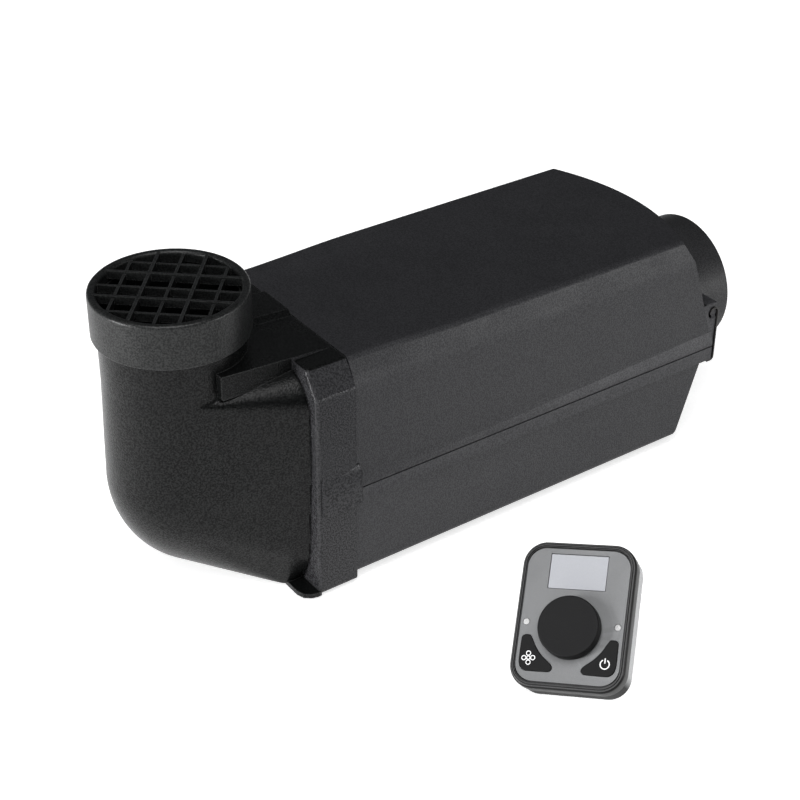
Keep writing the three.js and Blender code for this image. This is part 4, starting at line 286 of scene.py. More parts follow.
def material(name, color, roughness, metallic=0.0, grain=0.0, grain_size=0.0005, wear_and_edge_highlight=0.0, mottle=0.08,
             patch=0.03, streak=None, spread=0.07, specular=0.5, speckle=0.1, shade=None, painted_light_zone=None, rim=0.0):
    """A finish with grain, slow colour and gloss variation, and edges painted lighter, partly as wear and partly
    as painted highlight.

    rim keeps the lighter edge colour to that many metres from an edge, zone is (Y, colour) for upright faces
    beyond that Y painted paler as painted light, and shade is (direction, from, to) for faces painted darker
    towards a fixed direction as painted shade.
    """
    mat = bpy.data.materials.new(name)
    mat.use_nodes = True
    nodes, links = mat.node_tree.nodes, mat.node_tree.links
    shader = nodes["Principled BSDF"]
    shader.inputs["Metallic"].default_value = metallic
    shader.inputs["Specular IOR Level"].default_value = specular
    place = nodes.new("ShaderNodeTexCoord").outputs["Object"]
    shape = nodes.new("ShaderNodeNewGeometry")

    def noise(vector, size, detail, rough=0.5):
        made = nodes.new("ShaderNodeTexNoise")
        made.inputs["Scale"].default_value = 1 / size
        made.inputs["Detail"].default_value = detail
        made.inputs["Roughness"].default_value = rough
        links.new(vector, made.inputs["Vector"])
        return made.outputs["Fac"]

    def ramp(value, span, low=0.0, high=1.0):
        """A value brought from a span to the range from low to high."""
        made = nodes.new("ShaderNodeMapRange")
        for key, number in zip(("From Min", "From Max", "To Min", "To Max"), (*span, low, high)):
            made.inputs[key].default_value = number
        links.new(value, made.inputs["Value"])
        return made.outputs["Result"]

    def times(a, b):
        made = nodes.new("ShaderNodeMath")
        made.operation = "MULTIPLY"
        links.new(a, made.inputs[0])
        links.new(b, made.inputs[1])
        return made.outputs["Value"]

    def facing():
        """A dot product with the surface's normal, its other input left open."""
        made = nodes.new("ShaderNodeVectorMath")
        made.operation = "DOT_PRODUCT"
        links.new(shape.outputs["Normal"], made.inputs[0])
        return made

    def covered(base, factor, cover):
        """A base colour with another one over it, by a factor."""
        made = nodes.new("ShaderNodeMix")
        made.data_type = "RGBA"
        made.inputs["B"].default_value = (*cover, 1)
        links.new(factor, made.inputs["Factor"])
        links.new(base, made.inputs["A"])
        return made.outputs["Result"]

    slow = noise(place, patch, 6, 0.62)
    shades = nodes.new("ShaderNodeValToRGB")
    for stop, position, change in zip(shades.color_ramp.elements, SLOW, (1 - mottle, 1 + mottle)):
        stop.position = position
        stop.color = (*[min(1, c * change) for c in color], 1)
    links.new(slow, shades.inputs["Fac"])
    base = shades.outputs["Color"]
    low, high = max(0.03, roughness - spread), min(1, roughness + spread)
    links.new(ramp(slow, SLOW, low, high), shader.inputs["Roughness"])
    # Edges are painted lighter: partly wear, partly a painted highlight along edges where light would catch them.
    if wear_and_edge_highlight:
        wear_and_highlight_mask = ramp(shape.outputs["Pointiness"], OUTER_EDGE if rim else EDGE, 0, wear_and_edge_highlight)
        if rim:
            soft, turned_away = nodes.new("ShaderNodeBevel"), facing()
            soft.samples = 4
            soft.inputs["Radius"].default_value = rim
            links.new(soft.outputs["Normal"], turned_away.inputs[1])
            wear_and_highlight_mask = times(ramp(turned_away.outputs["Value"], NEAR_EDGE), wear_and_highlight_mask)
        base = covered(base, wear_and_highlight_mask, [min(1, c * 2.2 + 0.02) for c in color])
    # Painted light: upright faces beyond that Y are painted paler, while faces that lie flat keep the darker
    # colour.
    if painted_light_zone:
        beyond, paler = painted_light_zone
        spot, tilt = nodes.new("ShaderNodeSeparateXYZ"), nodes.new("ShaderNodeSeparateXYZ")
        links.new(place, spot.inputs["Vector"])
        links.new(shape.outputs["Normal"], tilt.inputs["Vector"])
        behind = ramp(spot.outputs["Y"], (beyond, beyond + 0.001))
        base = covered(base, times(behind, ramp(tilt.outputs["Z"], STANDING)), paler)
    # Painted shade: faces turned towards the given direction are painted darker.
    if shade:
        direction, *span = shade
        towards = facing()
        towards.inputs[1].default_value = direction
        base = covered(base, ramp(towards.outputs["Value"], span), PAINTED_SHADE)
    if grain:
        grain_place = place
        if streak:
            stretch = nodes.new("ShaderNodeMapping")
            stretch.inputs["Scale"].default_value = streak
            links.new(place, stretch.inputs["Vector"])
            grain_place = stretch.outputs["Vector"]
        fine = noise(grain_place, grain_size, 1.5)
        bump = nodes.new("ShaderNodeBump")
        bump.inputs["Strength"].default_value = 1
        bump.inputs["Distance"].default_value = grain
        links.new(fine, bump.inputs["Height"])
        links.new(bump.outputs["Normal"], shader.inputs["Normal"])
        speck = nodes.new("ShaderNodeMix")
        speck.data_type, speck.blend_type = "RGBA", "MULTIPLY"
        speck.inputs["Factor"].default_value = 1
        links.new(base, speck.inputs["A"])
        links.new(ramp(fine, FINE, 1 - speckle, 1 + speckle), speck.inputs["B"])
        base = speck.outputs["Result"]
        if speckle > GLINTS_FROM:
            glint = ramp(fine, FINE, specular * (1 - speckle), specular * (1 + speckle))
            links.new(glint, shader.inputs["Specular IOR Level"])
    links.new(base, shader.inputs["Base Color"])
    return mat


LOOK = {
    "casing": material("casing_plastic", (0.02, 0.02, 0.0222), 0.5, grain=0.0001, grain_size=0.0009, wear_and_edge_highlight=0.3,
                       specular=0.3, speckle=0.2),
    # The elbow's edges are painted lighter as painted highlight, and its band's upright faces paler as painted
    # light.
    "elbow": material("elbow_plastic", (0.0035, 0.0038, 0.0038), 0.26, grain=0.00016, grain_size=0.001,
                      wear_and_edge_highlight=0.8, rim=0.0011, speckle=0.36, painted_light_zone=(-0.1336, (0.026, 0.026, 0.0278)), spread=0.03,
                      specular=0.18),
    # The cap's edges are painted lighter as painted highlight.
    "cap": material("cap_plastic", (0.009, 0.0095, 0.0095), 0.35, grain=0.00016, grain_size=0.001, specular=0.28,
                    wear_and_edge_highlight=0.7, rim=0.0009, speckle=0.3, spread=0.03),
    "nozzle": material("nozzle_plastic", (0.018, 0.018, 0.0193), 0.48, grain=0.0001, grain_size=0.0009, wear_and_edge_highlight=0.3,
                       specular=0.3, speckle=0.2),
    "clip": material("clip_steel", (0.035, 0.034, 0.033), 0.4, 0.6, grain=0.00001, grain_size=0.0004, wear_and_edge_highlight=0.6),
    "cast_aluminium": material("cast_aluminium", (0.42, 0.43, 0.44), 0.42, 0.95, grain=0.00008, grain_size=0.0009),
    "steel": material("bright_steel", (0.5, 0.51, 0.52), 0.3, 1, grain=0.000008, grain_size=0.0003,
                      streak=(1, 1, 12), wear_and_edge_highlight=0.3),
    "hot_steel": material("heat_tinted_steel", (0.16, 0.13, 0.11), 0.45, 1, grain=0.00002, mottle=0.35,
                          patch=0.012),
    "brass": material("brass", (0.52, 0.36, 0.13), 0.35, 1, grain=0.00001, mottle=0.12),
    "rubber": material("rubber", (0.012, 0.012, 0.012), 0.85, grain=0.00003, grain_size=0.0006),
    "gasket": material("gasket_fibre", (0.11, 0.105, 0.095), 0.95, grain=0.00006, grain_size=0.0008, mottle=0.2,
                       patch=0.006),
    "fan_plastic": material("fan_plastic", (0.018, 0.019, 0.02), 0.5, grain=0.00001, grain_size=0.0005, wear_and_edge_highlight=0.3),
    "lead": material("lead_insulation", (0.01, 0.01, 0.01), 0.55, grain=0.00001, grain_size=0.0005),
    "bezel": material("bezel_plastic", (0.018, 0.018, 0.019), 0.2, grain=0.000004, grain_size=0.0005, wear_and_edge_highlight=0.2,
                      spread=0.04),
    "button": material("button_plastic", (0.0048, 0.0048, 0.0052), 0.6, grain=0.000008, grain_size=0.0003,
                       wear_and_edge_highlight=0.2, specular=0.2),
    "face": material("face_lacquer", (0.188, 0.191, 0.195), 0.42, 0.3, grain=0.000003, grain_size=0.0002,
                     mottle=0.05, wear_and_edge_highlight=0.1),
    "grey": material("grey_plastic", (0.42, 0.425, 0.43), 0.5, grain=0.00001, grain_size=0.0005, wear_and_edge_highlight=0.1,
                     mottle=0.04),
    "display": material("display_glass", (0.395, 0.403, 0.43), 0.25, grain=0.000001, grain_size=0.0006,
                        mottle=0.02, spread=0.03, speckle=0.02),
    "board": material("board_mask", (0.012, 0.06, 0.03), 0.4, grain=0.00001, grain_size=0.0006),
    "lens": material("lens_plastic", (0.5, 0.5, 0.5), 0.3, grain=0.000002, mottle=0.03),
    "print": material("white_print", (0.86, 0.86, 0.86), 0.55, grain=0.000003, grain_size=0.0002, mottle=0.02),
}
for row in frame["record"]["subparts"]:
    node = frame["nodes"][row["node"]]
    node.data.materials.clear()
    node.data.materials.append(LOOK[row["material_slot"]])

# ---------------------------------------------------------------- casing
HALF, LENGTH, HEIGHT, WALL = 70.0, 286.5, 150.0, 2.5
SEAM, AXIS = 65.0, 73.2
BEYOND = LENGTH + 57
END_LEAN, END_DROP = 23.5, 16
END_SLOPE = END_LEAN / (HEIGHT - END_DROP - SEAM)
END_BOW = 17
DRAWN_IN = 90
FILLET_STEPS = 6
NOZZLE_BORE, NOZZLE_R, NOZZLE_END = 42.5, 45.0, 325.3
FLANGE_HALF_WIDTH, FLANGE_HALF_LENGTH = 38.6, 52.6
GROMMET_PLACE, GROMMET_R = (-54, 60), 9
# Further out than any piece of the heater, across and along it.
WIDE, FAR = 200, 400


def filleted(corners):
    """Points of a closed outline whose corners (u, v, radius) are rounded."""
    points = []
    n = len(corners)
    for i in range(n):
        p, (a, b, radius), q = corners[i - 1], corners[i], corners[(i + 1) % n]
        here = Vector((a, b))
        back, ahead = (Vector(p[:2]) - here).normalized(), (Vector(q[:2]) - here).normalized()
        half = back.angle(ahead) / 2
        if radius < 0.05:
            points.append((a, b))
            continue
        centre = here + (back + ahead).normalized() * radius / math.sin(half)
        start = here + back * radius / math.tan(half) - centre
        end = here + ahead * radius / math.tan(half) - centre
        turn = start.angle_signed(end)
        for k in range(FILLET_STEPS + 1):
            w = -turn * k / FILLET_STEPS
            c, d = math.cos(w), math.sin(w)
            points.append((centre.x + start.x * c - start.y * d, centre.y + start.x * d + start.y * c))
    return points


def casing_section(inset, t=100.0):
    """The casing's outline, its roof edges drawn in towards the elbow at t = 0."""
    half = HALF - inset
    drawn = 0.5 + 0.5 * math.cos(math.pi * min(1, max(0, t / DRAWN_IN)))
    roof_half = half - 4 - 4.6 * drawn
    side = [(half, inset, 5 - inset), (half, HEIGHT - 18 + 2 * drawn, 30), (roof_half, HEIGHT - inset, 4.5)]
    return filleted(side + [(-x, z, r) for x, z, r in reversed(side)])


def casing_prism(inset, start):
    """The casing's length before its far end is cut, with sections every 6 mm where its roof draws in."""
    stations = [start] + [6.0 * k for k in range(16)] + [BEYOND]
    return rings([[placed("y", u, v, t) for u, v in casing_section(inset, t)] for t in stations])


def bowed(points):
    """A prism across the heater, its far end bowed outwards at the middle."""
    reach = HALF + 7.5
    obj = prism(points, "x", -reach, reach, 62)
    for v in obj.data.vertices:
        if v.co.y > LENGTH / 2:
            v.co.y += END_BOW * (1 - (v.co.x / HALF) ** 2)
    return obj


def upper_end(inset, start):
    low, top, end = SEAM - 20, HEIGHT + 5, LENGTH - inset
    return bowed([
        (start, low), (end + 20 * END_SLOPE, low), (end - END_LEAN, HEIGHT - END_DROP), (end - 35, HEIGHT),
        (end - 35, top), (start, top),
    ])


def lower_end(inset, start):
    end, high, floor = LENGTH - 5.5 - inset, SEAM + 20, LENGTH - 24.5 - inset
    slope = (end - floor) / (SEAM - 6)
    return bowed([
        (start, -5), (floor - 3, -5), (floor - 3, 0), (floor, 6), (end + 20 * slope, high), (start, high),
    ])


def casing_solid(inset, start, end_of):
    return common(casing_prism(inset, start), end_of(inset, start - 1))


def ledge(near, far, slope):
    """The bar along the seam, its outer face from near to slope short of far."""
    inner, outer = HALF - 1, HALF + 2.5
    outline = [(inner, near), (outer, near), (outer, far - slope), (HALF, far), (inner, far)]
    return prism(outline, "y", 2.6, LENGTH - 1.8)


def tongue(grow):
    """The lower casing's key, or with a gap around it the groove for it."""
    x0 = HALF - WALL + GAP - grow
    return block(x0, x0 + 1.4 + 2 * grow, 14 - grow, LENGTH - 40 + grow, SEAM - 3, SEAM + 3 + grow)


CLIP_WIDTH, CLIP_OUT = 14, HALF + 0.8
CLIP_IN, PIVOT_Y, PIVOT_Z = CLIP_OUT - CLIP_WIDTH - 1, LENGTH - 1.3, 89.6
CLIP_RI, CLIP_RO = 3.0, 4.0
CLIP_GRIP = 11.2
CORNER_WIDTH, ROOM_TOP = 17, 106


def upper_clip_room():
    """What is cut from the upper casing's corner for the clip, with a round pocket at its hook."""
    outside, face = HALF + 3.5, PIVOT_Y + CLIP_RI - 0.4
    return join(
        block(CLIP_IN, outside, face, BEYOND, SEAM - 1, ROOM_TOP),
        block(CLIP_IN, outside, PIVOT_Y - CLIP_RO - 2, BEYOND + 1, 97, ROOM_TOP + 0.01),
        rod("x", CLIP_RO + 0.5, CLIP_IN + 0.01, outside + 0.01, (PIVOT_Y, PIVOT_Z), 48),
    )


def clip_bead():
    """The round bar that the clip's hook turns on, and its web."""
    x0, x1, pad_top = CLIP_IN - 1, HALF - 0.5, PIVOT_Z - CLIP_RO - 1
    return join(
        rod("x", 2.6, x0, x1, (PIVOT_Y, PIVOT_Z), 40),
        block(x0 + 0.01, x1 - 0.01, PIVOT_Y - 1.2, PIVOT_Y + 1.8, pad_top, PIVOT_Z),
        block(x0, x1, PIVOT_Y - CLIP_RO - 3, PIVOT_Y + 1, 95, 97),
    )


def nozzle_hole():
    return rod("y", NOZZLE_R + GAP, LENGTH / 2 + 60, BEYOND + 5, (0, AXIS), 160)


def upper_casing():
    outer = casing_solid(0, 0, upper_end)
    inner = casing_solid(WALL, -1, upper_end)
    foot = SEAM + GAP / 2
    corner = join(
        common(
            block(HALF - CORNER_WIDTH, HALF, LENGTH - 18, BEYOND, foot, ROOM_TOP + WALL),
            casing_solid(0, 0, upper_end),
        ),
        block(HALF - 14, HALF - 0.3, LENGTH - 16, PIVOT_Y + CLIP_RI - 0.2, foot, 96.5),
    )
    shell = common(cut(outer, inner), block(-WIDE, WIDE, -1, FAR, foot, FAR))
    shell = join(shell, corner, mirrored(corner))
    bar = ledge(foot + 0.3, SEAM + 10, 7)
    shell = join(shell, mirrored(bar), bar)
    room = upper_clip_room()
    shell = cut(shell, mirrored(room), room)
    bead = clip_bead()
    shell = join(shell, mirrored(bead), bead)
    groove = tongue(GAP)
    return cut(shell, nozzle_hole(), mirrored(groove), groove)


def lower_casing():
    outer = casing_solid(0, 0, lower_end)
    inner = casing_solid(WALL, -1, lower_end)
    top = SEAM - GAP / 2
    bottom = top - CLIP_GRIP
    corner = join(
        common(
            block(HALF - CORNER_WIDTH, HALF, LENGTH - 18, BEYOND, bottom, top), casing_solid(0, 0, lower_end)
        ),
        block(HALF - CORNER_WIDTH, HALF - 0.2, LENGTH - 9, LENGTH - 1.7, bottom, top),
    )
    shell = common(cut(outer, inner), block(-WIDE, WIDE, -1, FAR, -WIDE, top))
    shell = join(shell, mirrored(corner), corner)
    bar = ledge(top - 0.25, SEAM - 10, 0)
    shell = join(shell, mirrored(bar), bar)
    trim = block(CLIP_IN, WIDE, LENGTH - 1.7, BEYOND, 0, SEAM)
    shell = cut(shell, mirrored(trim), trim)
    key = tongue(0)
    shell = join(shell, mirrored(key), key)
    flange = block(-FLANGE_HALF_WIDTH, FLANGE_HALF_WIDTH, FLANGE_Y - FLANGE_HALF_LENGTH,
                   FLANGE_Y + FLANGE_HALF_LENGTH, -1, WALL + 1)
    return cut(shell, nozzle_hole(), flange, rod("z", GROMMET_R, -1, WALL + 1, GROMMET_PLACE))


def nozzle():
    face, r0, r1, end = LENGTH - 12, NOZZLE_BORE, NOZZLE_R, NOZZLE_END
    return turned([
        (r0, face), (r1 + 4.5, face), (r1 + 4.5, face + 2.1), (r1 + 4.1, face + 2.5), (r1 + 0.9, face + 2.5),
        (r1 + 0.25, face + 2.8), (r1, face + 3.5), (r1, end - 1.6), (r1 - 0.3, end - 0.8), (r1 - 0.9, end - 0.2),
        (r1 - 1.5, end), (r0 + 0.4, end), (r0, end - 0.4),
    ], "y", (0, AXIS), 192)


def clip_strip(x0):
    """The sprung strip: a hook over the bead, a straight leg, and a foot under the lower casing's corner."""
    foot, heel = PIVOT_Z - (SEAM - GAP / 2 - CLIP_GRIP) + 0.5, 2.0
    outline = [(CLIP_RO * math.cos(rad(a)), CLIP_RO * math.sin(rad(a))) for a in range(0, 166, 11)]
    outline += [(CLIP_RI * math.cos(rad(a)), CLIP_RI * math.sin(rad(a))) for a in range(165, -1, -11)]
    for i in range(7):
        a = rad(-90 * i / 6)
        outline.append((CLIP_RI - heel + heel * math.cos(a), -foot + heel + heel * math.sin(a)))
    outline += [(CLIP_RI - 5, -foot), (CLIP_RI - 5, -foot - 1)]
    for i in range(7):
        a = rad(-90 + 90 * i / 6)
        outline.append((CLIP_RI - heel + (heel + 1) * math.cos(a), -foot + heel + (heel + 1) * math.sin(a)))
    return prism([(PIVOT_Y + y, PIVOT_Z + z) for y, z in outline], "x", x0, x0 + CLIP_WIDTH)


finish(upper_casing(), "casing_cover", "heater", ["upper_casing"], LOOK["casing"], HEATER,
       0.8, 25, 3, 50)
finish(lower_casing(), "casing_base", "heater", ["lower_casing"], LOOK["casing"], HEATER,
       0.5, 25, 3, 50)
finish(nozzle(), "warm_air_nozzle", "heater", ["outlet_nozzle"], LOOK["nozzle"], HEATER, 0, crease=50)
finish(clip_strip(CLIP_OUT - CLIP_WIDTH), "spring_clip_right", "clip_right", ["casing_clip_right"],
       LOOK["clip"], HEATER, 0.25)
finish(clip_strip(-CLIP_OUT), "spring_clip_left", "clip_left", ["casing_clip_left"],
       LOOK["clip"], HEATER, 0.25)

# ---------------------------------------------------------------- inlet elbow
RISER_Y, RISER_R, CAP_TOP = -77.6, 42.2, 192.7
FOOT_R, BEND_R, BEND_STRETCH = 44.4, 62.7, 1.05
HOOD_HALF = 66
WING_SLOPE = 5 / 74
BARS_TURN = rad(48.9)


def hood(inset, y):
    """The hood from its plate at y down to the riser's bend, drawn in by an inset."""
    points = []
    roof, floor, floor_half = HEIGHT - 5 - inset, -4 + inset, 50 - 0.6 * inset
    radius = 24 - inset
    for side in (1, -1):
        points += [(side * (HOOD_HALF - inset), y, 90), (side * (62.4 - inset), y, 24)]
        points += [(side * (61.2 - inset), y, 15.5)]
        points += [(side * floor_half, y, floor), (side * floor_half, -38.5 + inset / 2, floor)]
        for i in range(13):
            a = rad(90 * i / 12)
            x = HOOD_HALF - inset - radius + radius * math.cos(a)
            points.append((side * x, y, roof - radius + radius * math.sin(a)))
    foot, shoulder, bend = FOOT_R - inset, RISER_R - inset, BEND_R - inset
    bend_top = 5 + BEND_R * BEND_STRETCH
    bend_y = RISER_Y - FOOT_R + BEND_R
    for i in range(96):
        c, s = math.cos(rad(3.75 * i)), math.sin(rad(3.75 * i))
        points.append((shoulder * c, RISER_Y + shoulder * s, 137 - inset))
        points.append((foot * c, RISER_Y + foot * s, bend_top))
    for j in range(1, 25):
        sweep = rad(90 * j / 24)
        for i in range(49):
            a = (i / 48 - 0.5) * math.pi
            reach = bend - foot + foot * math.cos(a)
            points.append((
                foot * math.sin(a),
                bend_y - reach * math.cos(sweep),
                bend_top - reach * math.sin(sweep) * BEND_STRETCH,
            ))
    return hull(points)


def sheared(obj, slope):
    """A solid that rises by the slope towards the cold end."""
    for v in obj.data.vertices:
        v.co.z -= slope * v.co.y
    return obj


def band_section(inset):
    half, low, high = HALF + 1 - inset, inset - 4, HEIGHT - inset
    side = [(half, low, 3.4 - inset), (half, high - 15.5 + inset / 2, 4), (half - 10.5 + inset / 2, high, 3)]
    return filleted(side + [(-x, z, r) for x, z, r in reversed(side)])


def band():
    """The band round the casing's end, its front rim rounded."""
    front, r = -27.5, 2.2
    rim = [(r * (1 - math.sin(rad(15 * k))), front + r * (1 - math.cos(rad(15 * k)))) for k in range(7)]
    rim += [(0, -GAP - 0.4), (0.25, -GAP - 0.1), (0.4, -GAP)]
    return rings([[placed("y", u, v, t) for u, v in band_section(inset)] for inset, t in rim])


def band_block():
    """The raised block on the band's side, over the seam."""
    face = HALF + 3.5
    blank = prism(
        [(HALF - 2, 54), (face, 54), (face, 76.2), (HALF + 0.9, 81), (HALF - 2, 81)], "y", -25, 2
    )
    return cut(blank, block(0, HALF + GAP, -GAP, 10, 0, HEIGHT))


def elbow_foot():
    side = HALF + 1
    return prism([
        (44, -26.5), (44, -38.5), (side - 9, -38.5), (side - 4, -36.8), (side - 1, -33), (side, -29),
        (side, -26.5),
    ], "z", -4, -1)


def inlet_elbow():
    riser = rod("z", RISER_R, 125, CAP_TOP - 7, (0, RISER_Y), 160)
    body = smoothed(join(hood(0, -26.5), riser), 1.2, 6)
    shell = join(body, band())
    wing_end = HEIGHT + 74 * WING_SLOPE
    wing = prism([(-0.5, 139.5), (-0.5, HEIGHT), (-74, wing_end), (-74, 140.5), (-73, 139.5)], "x", -47, 47)
    pad_top = HEIGHT + 2.7
    pad = sheared(prism(
        [(-30, 142.5), (4, 142.5), (4, HEIGHT), (0, pad_top), (-26, pad_top), (-30, HEIGHT)], "y", -31.5, -0.5
    ), WING_SLOPE)
    side, foot = band_block(), elbow_foot()
    shell = join(shell, wing, pad, mirrored(side), side, mirrored(foot), foot)
    throat_inset = WALL + GAP + 2
    bore = rod("z", RISER_R - 3, 117, CAP_TOP, (0, RISER_Y), 96)
    inside = join(hood(3, -22.5), bore, prism(casing_section(throat_inset), "y", -23.5, 1))
    spigot = cut(prism(casing_section(WALL + GAP), "y", -4, 8), prism(casing_section(throat_inset), "y", -5, 9))
    return join(cut(shell, inside), spigot)


finish(inlet_elbow(), "inlet_elbow_shell", "heater", ["inlet_elbow"], LOOK["elbow"], HEATER,
       0.7, 32, 3, 50)


def grille_cap():
    bottom, outer = CAP_TOP - 27.6, 45.67
    ring = turned([
        (42.6, bottom), (outer - 1, bottom), (outer - 0.3, bottom + 0.3), (outer, bottom + 1),
        (outer, CAP_TOP - 2), (outer - 0.35, CAP_TOP - 1), (outer - 1, CAP_TOP - 0.3), (outer - 2, CAP_TOP),
        (42.4, CAP_TOP),
        (41.4, CAP_TOP - 0.5), (40.8, CAP_TOP - 1.4), (40.6, CAP_TOP - 2.4), (40.6, CAP_TOP - 6.7),
        (42.6, CAP_TOP - 6.7),
    ], "z", (0, 0), 192)
    bars = []
    for i in range(5):
        thick = i % 2 == 1
        offset, half = (i - 2) * 14.1, (2.0 if thick else 1.7) / 2
        top = CAP_TOP - 0.2 - (0 if thick else 1.5)
        reach = math.sqrt(41.6 ** 2 - offset ** 2)
        bars.append(block(-reach, reach, offset - half, offset + half, top - 5, top))
        bars.append(block(offset - half, offset + half, -reach, reach, top - 5.003, top - 0.003))
    return join(ring, *bars)


CAP = HEATER @ Matrix.Translation((0, RISER_Y, 0)) @ Matrix.Rotation(BARS_TURN, 4, "Z")
finish(grille_cap(), "intake_grille_ring", "intake_grille", ["grille_cap"], LOOK["cap"], CAP,
       0.35, 32, 3, 50)


# ---------------------------------------------------------------- underside
def middle(node):
    """A node's centre in X and Y and its lowest and highest Z, in millimetres."""
    low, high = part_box(node)
    c = (low + high) / 2
    return c.x * 1000, c.y * 1000, low.z * 1000, high.z * 1000


THREAD_ROOT, THREAD_CREST, PITCH = 2.45, 2.98, 1.0
for i in range(1, 5):
    x, y, low, high = middle(f"flange_stud_{i}")
    profile = [(0, low), (2.2, low), (THREAD_ROOT, low + 0.5)]
    z = low + 0.5
    while z < high - 1.4:
        profile += [(THREAD_CREST, z + 0.42), (THREAD_CREST, z + 0.58), (THREAD_ROOT, z + PITCH)]
        z += PITCH
    profile += [(2.4, high), (0, high)]
    finish(turned(profile, "z", (x, y), 40), f"threaded_stud_{i}", "heater", [f"flange_stud_{i}"],
           LOOK["steel"], MILLI, 0, crease=60)
STUB_WALL, BEAD = 2, 0.8
for node, name, slot in (
    ("exhaust_stub", "exhaust_pipe_stub", "steel"), ("combustion_air_stub", "air_pipe_stub", "cast_aluminium")
):
    x, y, low, high = middle(node)
    r = (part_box(node)[1].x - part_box(node)[0].x) * 500 - BEAD
    bore = r - STUB_WALL
    bead = [(r + BEAD * math.sin(rad(18 * k)), low + 2 + 0.2 * k) for k in range(11)]
    profile = [
        (bore, low + 0.4), (bore + 0.4, low), (r - 0.4, low), (r, low + 0.4), *bead, (r, high), (bore, high)
    ]
    finish(turned(profile, "z", (x, y), 96), name, "heater", [node], LOOK[slot], MILLI, 0, crease=50)


# ---------------------------------------------------------------- controller
def loft(loops, radius_steps=14, wrap=False):
    """A solid through rounded rectangles given as (width, height, radius, z)."""
    return rings([[(x, y, z) for x, y in rounded(w, h, r, steps=radius_steps)] for w, h, r, z in loops], wrap)


def ring_loops(profile):
    """Loops from (inset from the bezel's outline, z)."""
    return [(BEZEL_W - 2 * d, BEZEL_H - 2 * d, BEZEL_R - d, z) for d, z in profile]


def bezel():
    return loft(ring_loops([
        (2.0, -9.5), (0.75, -9.5), (0.35, -9.2), (0.2, -8.6), (0.0, -3.6), (0.0, -1.6), (0.12, -0.9), (0.45, -0.3),
        (0.7, 0.25), (0.85, 0.42), (1.45, 0.55), (1.5, -0.1), (1.85, -0.1), (1.9, 0.8), (2.0, 0.97),
        (2.42, 0.97), (2.5, 0.85), (2.54, -0.2), (2.97, -0.2), (2.97, -1.5), (4.6, -1.5), (4.6, -3.5), (2.0, -3.5),
    ]), wrap=True)


def back_shell():
    step = 0.8
    return loft(ring_loops([
        (step + 2, -9.8), (step, -9.8), (step, BACK_FLOOR + 3.2), (step + 0.25, BACK_FLOOR + 1.9),
        (step + 0.9, BACK_FLOOR + 0.8), (step + 1.9, BACK_FLOOR + 0.2), (step + 3.2, BACK_FLOOR),
    ]))


def button_outline(side, grow):
    """A key's outline, moved outwards by grow, through a smooth curve over its corners."""
    points = [
        (22.0, -13.6), (22.6, -12.7), (23.6, -12.3), (25.2, -12.3), (26.5, -12.6), (27.3, -13.5), (27.65, -14.8),
        (27.7, -20), (27.65, -26.0), (27.3, -28.6), (26.5, -30.4), (25.2, -31.7), (23.6, -32.35), (21.5, -32.5),
        (15, -32.5), (10.6, -32.4), (9.3, -31.9), (8.5, -31.0), (8.35, -29.8), (8.9, -28.7), (10.2, -27.3),
        (12.6, -25.5), (14.6, -23.95), (16.5, -22.0), (18.2, -19.9), (19.7, -17.6), (20.9, -15.3),
    ]
    cx, cy = 20.5, -25.0
    grown = []
    for x, y in points:
        d = math.hypot(x - cx, y - cy)
        grown.append((x + grow * (x - cx) / d, y + grow * (y - cy) / d))
    smooth = []
    n = len(grown)
    for i in range(n):
        p = [Vector((*grown[(i + k - 1) % n], 0)) for k in range(4)]
        for t in (0.0, 0.33, 0.67):
            a = -0.5 * t ** 3 + t ** 2 - 0.5 * t
            b = 1.5 * t ** 3 - 2.5 * t ** 2 + 1
            c = -1.5 * t ** 3 + 2 * t ** 2 + 0.5 * t
            d = 0.5 * t ** 3 - 0.5 * t ** 2
            q = p[0] * a + p[1] * b + p[2] * c + p[3] * d
            smooth.append((side * q.x, q.y))
    return smooth


PLATE_W, PLATE_H, PLATE_R = 59.3, 75.9, 10.55
KNOB_Y, LCD_Y = -7.6, 25.0
LCD_SIZE, LCD_HOLE = (32.9, 19.6), (33.6, 20.3)
LENS_X, LENS_Y = 26.2, -4.9
KEY_TOP, SIGN_TOP = 0.55, 0.68


def face_plate():
    plate = prism(rounded(PLATE_W, PLATE_H, PLATE_R, steps=16), "z", -1.2, 0)
    return cut(
        plate, prism(rounded(*LCD_HOLE, 0.5, (0, LCD_Y), 4), "z", -2, 1), rod("z", 5, -2, 1, (0, KNOB_Y)),
        prism(button_outline(1, 0.25), "z", -2, 1), prism(button_outline(-1, 0.25), "z", -2, 1),
        rod("z", 2.0, -2, 1, (LENS_X, LENS_Y), 48), rod("z", 2.0, -2, 1, (-LENS_X, LENS_Y), 48),
    )


def knob():
    top = 7.6
    return turned([
        (0, top - 2.4), (3.1, top - 2.4), (3.1, 1.5), (5.5, 1.5), (5.5, top - 2.4), (15.3, top - 2.4), (15.3, 1.1),
        (17.35, 1.1), (17.5, 1.25), (17.5, 2.0), (17.4, top - 1.0), (17.3, top - 0.55), (17.0, top - 0.2),
        (16.5, top - 0.03), (15.5, top), (0, top),
    ], "z", (0, KNOB_Y), 160)


def ribbon(points, width, z0, z1, closed=False):
    """A thin raised stroke along a flat line."""
    n = len(points)
    left, right = [], []
    for i in range(n):
        a = Vector(points[(i - 1) % n] if closed or i else points[0])
        b = Vector(points[(i + 1) % n] if closed or i < n - 1 else points[-1])
        d = (b - a).normalized()
        side = Vector((-d.y, d.x)) * width / 2
        left.append(Vector(points[i]) + side)
        right.append(Vector(points[i]) - side)
    rows = [[(*right[i], z0), (*left[i], z0), (*left[i], z1), (*right[i], z1)] for i in range(n)]
    return rings(rows, wrap=closed)


